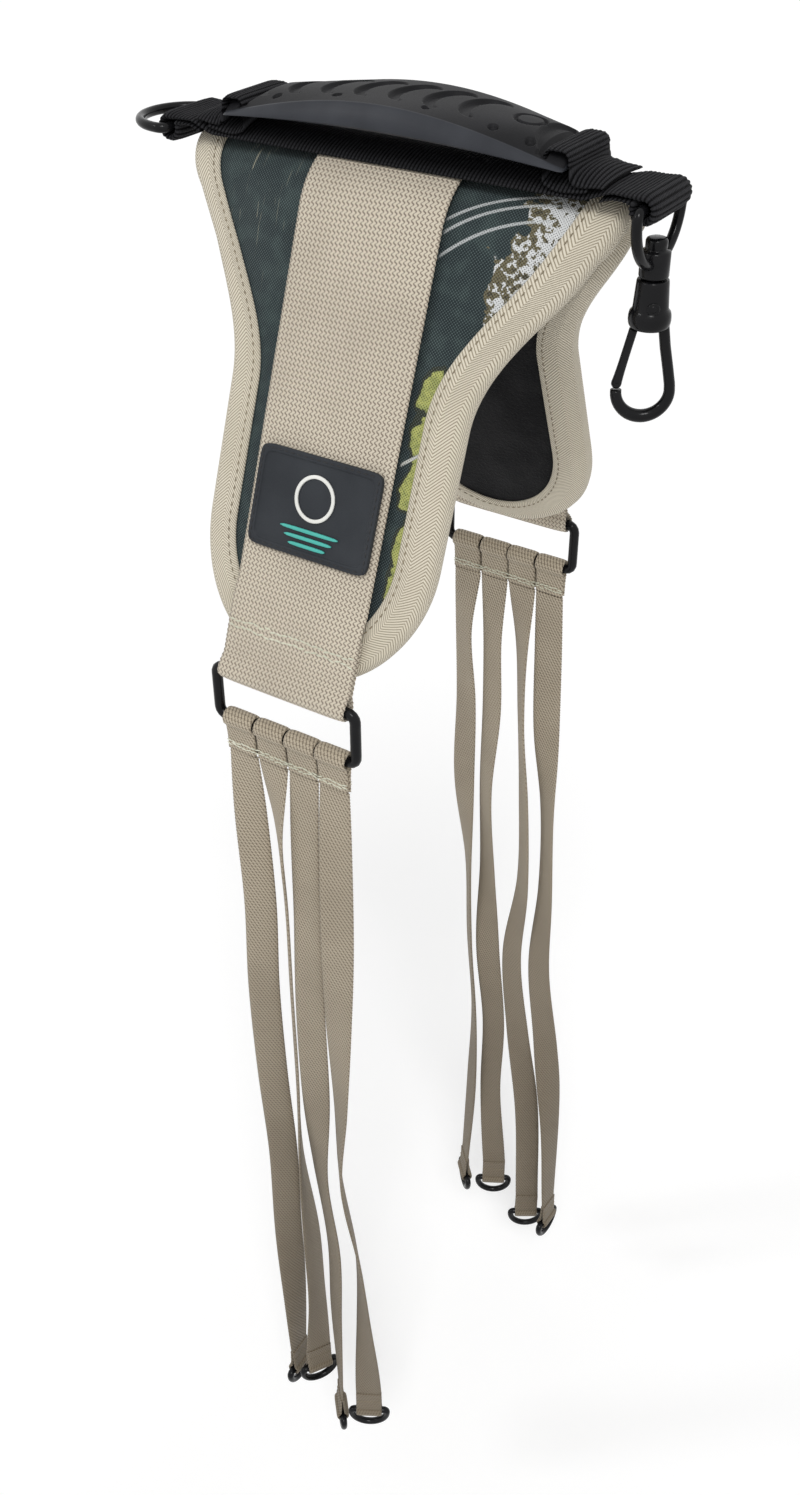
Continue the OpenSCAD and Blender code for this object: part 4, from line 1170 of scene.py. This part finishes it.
def makeHook():
    # rings are wire on a flat path, and the eye and collar are profiles turned about the swivel's axis
    line = dPath(dRing["half"], dRing["leg"], dRing["corner"])
    for side, sign, hang, flat in (("left", -1.0, acrossX, upright), ("right", 1.0, upright, acrossX)):
        path = laid(line, np.array([sign * black["loopX"], 0, black["loopZ"]]), np.array([0, 1.0, 0]), hang)
        metalPiece(side + "DRing", [wireGrid(path, flat, dRing["wire"] / 2, True, 18)], side + "_ring",
                   side + "_d_ring")
    axis = (black["loopX"], 0, 0)
    eye = np.array([[0, -25.1], [2.2, -25.1], [2.9, -25.35], [3.2, -26.0], [3.2, -27.9], [3.05, -28.2],
                    [3.3, -28.5], [4.1, -28.75], [4.4, -29.2], [4.4, -35.7], [4.25, -36.2], [3.9, -36.35],
                    [2.0, -36.4], [2.0, -41.4], [0, -41.4]])
    metalPiece("swivelEye", [turnedGrid(eye, axis)], "eye", "swivel_eye")
    body = np.array([[0, -36.85], [4.2, -36.85], [4.6, -37.0], [4.75, -37.5], [5.0, -41.0], [5.25, -45.2],
                     [5.5, -45.7], [6.0, -46.3], [6.25, -47.4], [6.3, -48.6], [6.1, -49.9], [5.6, -50.8],
                     [4.8, -51.1], [0, -51.1]])
    a = math.radians(hook["turn"])
    inPlane, square = np.array([math.cos(a), math.sin(a), 0]), np.array([-math.sin(a), math.cos(a), 0])
    outline = np.array([[hook["legX"], hook["collarZ"] + 1.5], [5.4, -57.0], [6.8, -63.5], [7.8, -68.5]])
    bow = arcLine((0, hook["bowZ"]), hook["bow"], math.radians(-2), math.radians(-180), 35)
    outline = evenly(np.concatenate([outline, bow, [[-hook["bow"], hook["bowZ"] + 0.35]]]), 0.8)
    share = np.linspace(0, 1, len(outline))
    thickness = hook["wire"] / 2 + 0.35 * np.exp(-(((share - 0.72) / 0.2) ** 2))
    centre = np.array(axis, float)
    wire = wireGrid(laid(outline, centre, inPlane), square, thickness, False, 18)
    metalPiece("hookBody", [turnedGrid(body, axis), wire], "hook", "hook_body")
    ring = np.array([[0, 5.55], [0.7, 5.55], [0.9, 5.4], [1.1, 5.25], [1.35, 5.5], [1.7, 5.5], [1.9, 5.3],
                     [1.95, 4.2], [0, 4.2]])
    rivets = []
    around = np.arange(28) * 2 * math.pi / 28
    r, h = np.maximum(ring[:, :1], 0.02), ring[:, 1:]
    middle = centre + (hook["seamZ"] - hook["rivetDrop"]) * upright
    disc = (middle + (r * np.cos(around))[..., None] * inPlane + (r * np.sin(around))[..., None] * upright)
    for g in (-1.0, 1.0):
        grid = disc + g * h[..., None] * square
        rivets.append((grid, np.zeros(grid.shape[:2] + (2,)), False))
    metalPiece("hookRivet", rivets, "hook", "hook_rivet")
    # the gate's lower end is a ball about its pin, so it keeps clear of the bow as it swings
    ball, lean = hook["gateBall"], math.radians(hook["gateLean"])
    rise = np.concatenate([-ball * np.cos(np.linspace(0.12, math.pi / 2, 9)), np.linspace(0.6, 17.0, 22)])
    gate = np.stack([-hook["bow"] + rise * math.sin(lean), hook["gateZ"] + rise * math.cos(lean)], 1)
    fat = np.where(rise < 0, np.sqrt(np.maximum(ball**2 - rise**2, 0.01)), 1.3 + 0.3 * np.exp(-rise / 3.0))
    metalPiece("hookGate", [wireGrid(laid(gate, centre, inPlane), square, fat)], "gate", "hook_gate")
    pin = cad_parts["gate_pin"]
    pin.data.materials.clear()
    pin.data.materials.append(blackMetal)


makeHook()
print("hook made")


# floor and light
studio = {"floorDrop": 45.0, "floorHalf": 60.0, "sky": 0.62, "key": 1.1, "keySpread": 20.0, "streak": 0.3,
          "streakSpread": 9.0, "lift": 0.13}


def makeStudio():
    low = cadBox[0][2] - studio["floorDrop"] * mm
    mesh = bpy.data.meshes.new("floor")
    h = studio["floorHalf"]
    mesh.from_pydata([(-h, -h, low), (h, -h, low), (h, h, low), (-h, h, low)], [], [(0, 1, 2, 3)])
    material = bpy.data.materials.new("floor")
    material.use_nodes = True
    shader = material.node_tree.nodes["Principled BSDF"]
    shader.inputs["Base Color"].default_value = (0.95, 0.95, 0.95, 1)
    shader.inputs["Roughness"].default_value = 0.9
    shader.inputs["Specular IOR Level"].default_value = 0.1
    # the floor's own pale tone, for the camera alone, over the shadow that it still shows
    ray = material.node_tree.nodes.new("ShaderNodeLightPath")
    lift = calc(material.node_tree, "MULTIPLY", ray.outputs["Is Camera Ray"], studio["lift"])
    shader.inputs["Emission Color"].default_value = (1, 1, 1, 1)
    material.node_tree.links.new(lift, shader.inputs["Emission Strength"])
    mesh.materials.append(material)
    floor = bpy.data.objects.new("floor", mesh)
    scene.collection.objects.link(floor)
    world = bpy.data.worlds.new("studio")
    world.use_nodes = True
    scene.world = world
    tree = world.node_tree
    sky = tree.nodes["Background"]
    sky.inputs["Color"].default_value = (1, 1, 1, 1)
    ray = tree.nodes.new("ShaderNodeLightPath")
    seen = calc(tree, "MAXIMUM", ray.outputs["Is Camera Ray"],
                calc(tree, "MAXIMUM", ray.outputs["Is Glossy Ray"], ray.outputs["Is Transmission Ray"]))
    strength = calc(tree, "MULTIPLY_ADD", seen, 1.0 - studio["sky"], studio["sky"])
    tree.links.new(strength, sky.inputs["Strength"])
    for name, energy, spread, turn in (("key", studio["key"], studio["keySpread"], (38, 12, 18)),
                                       ("streak", studio["streak"], studio["streakSpread"], (55, 0, -47))):
        data = bpy.data.lights.new(name, "SUN")
        data.energy = energy
        data.angle = math.radians(spread)
        light = bpy.data.objects.new(name, data)
        light.rotation_euler = [math.radians(angle) for angle in turn]
        scene.collection.objects.link(light)


makeStudio()
print("studio made")
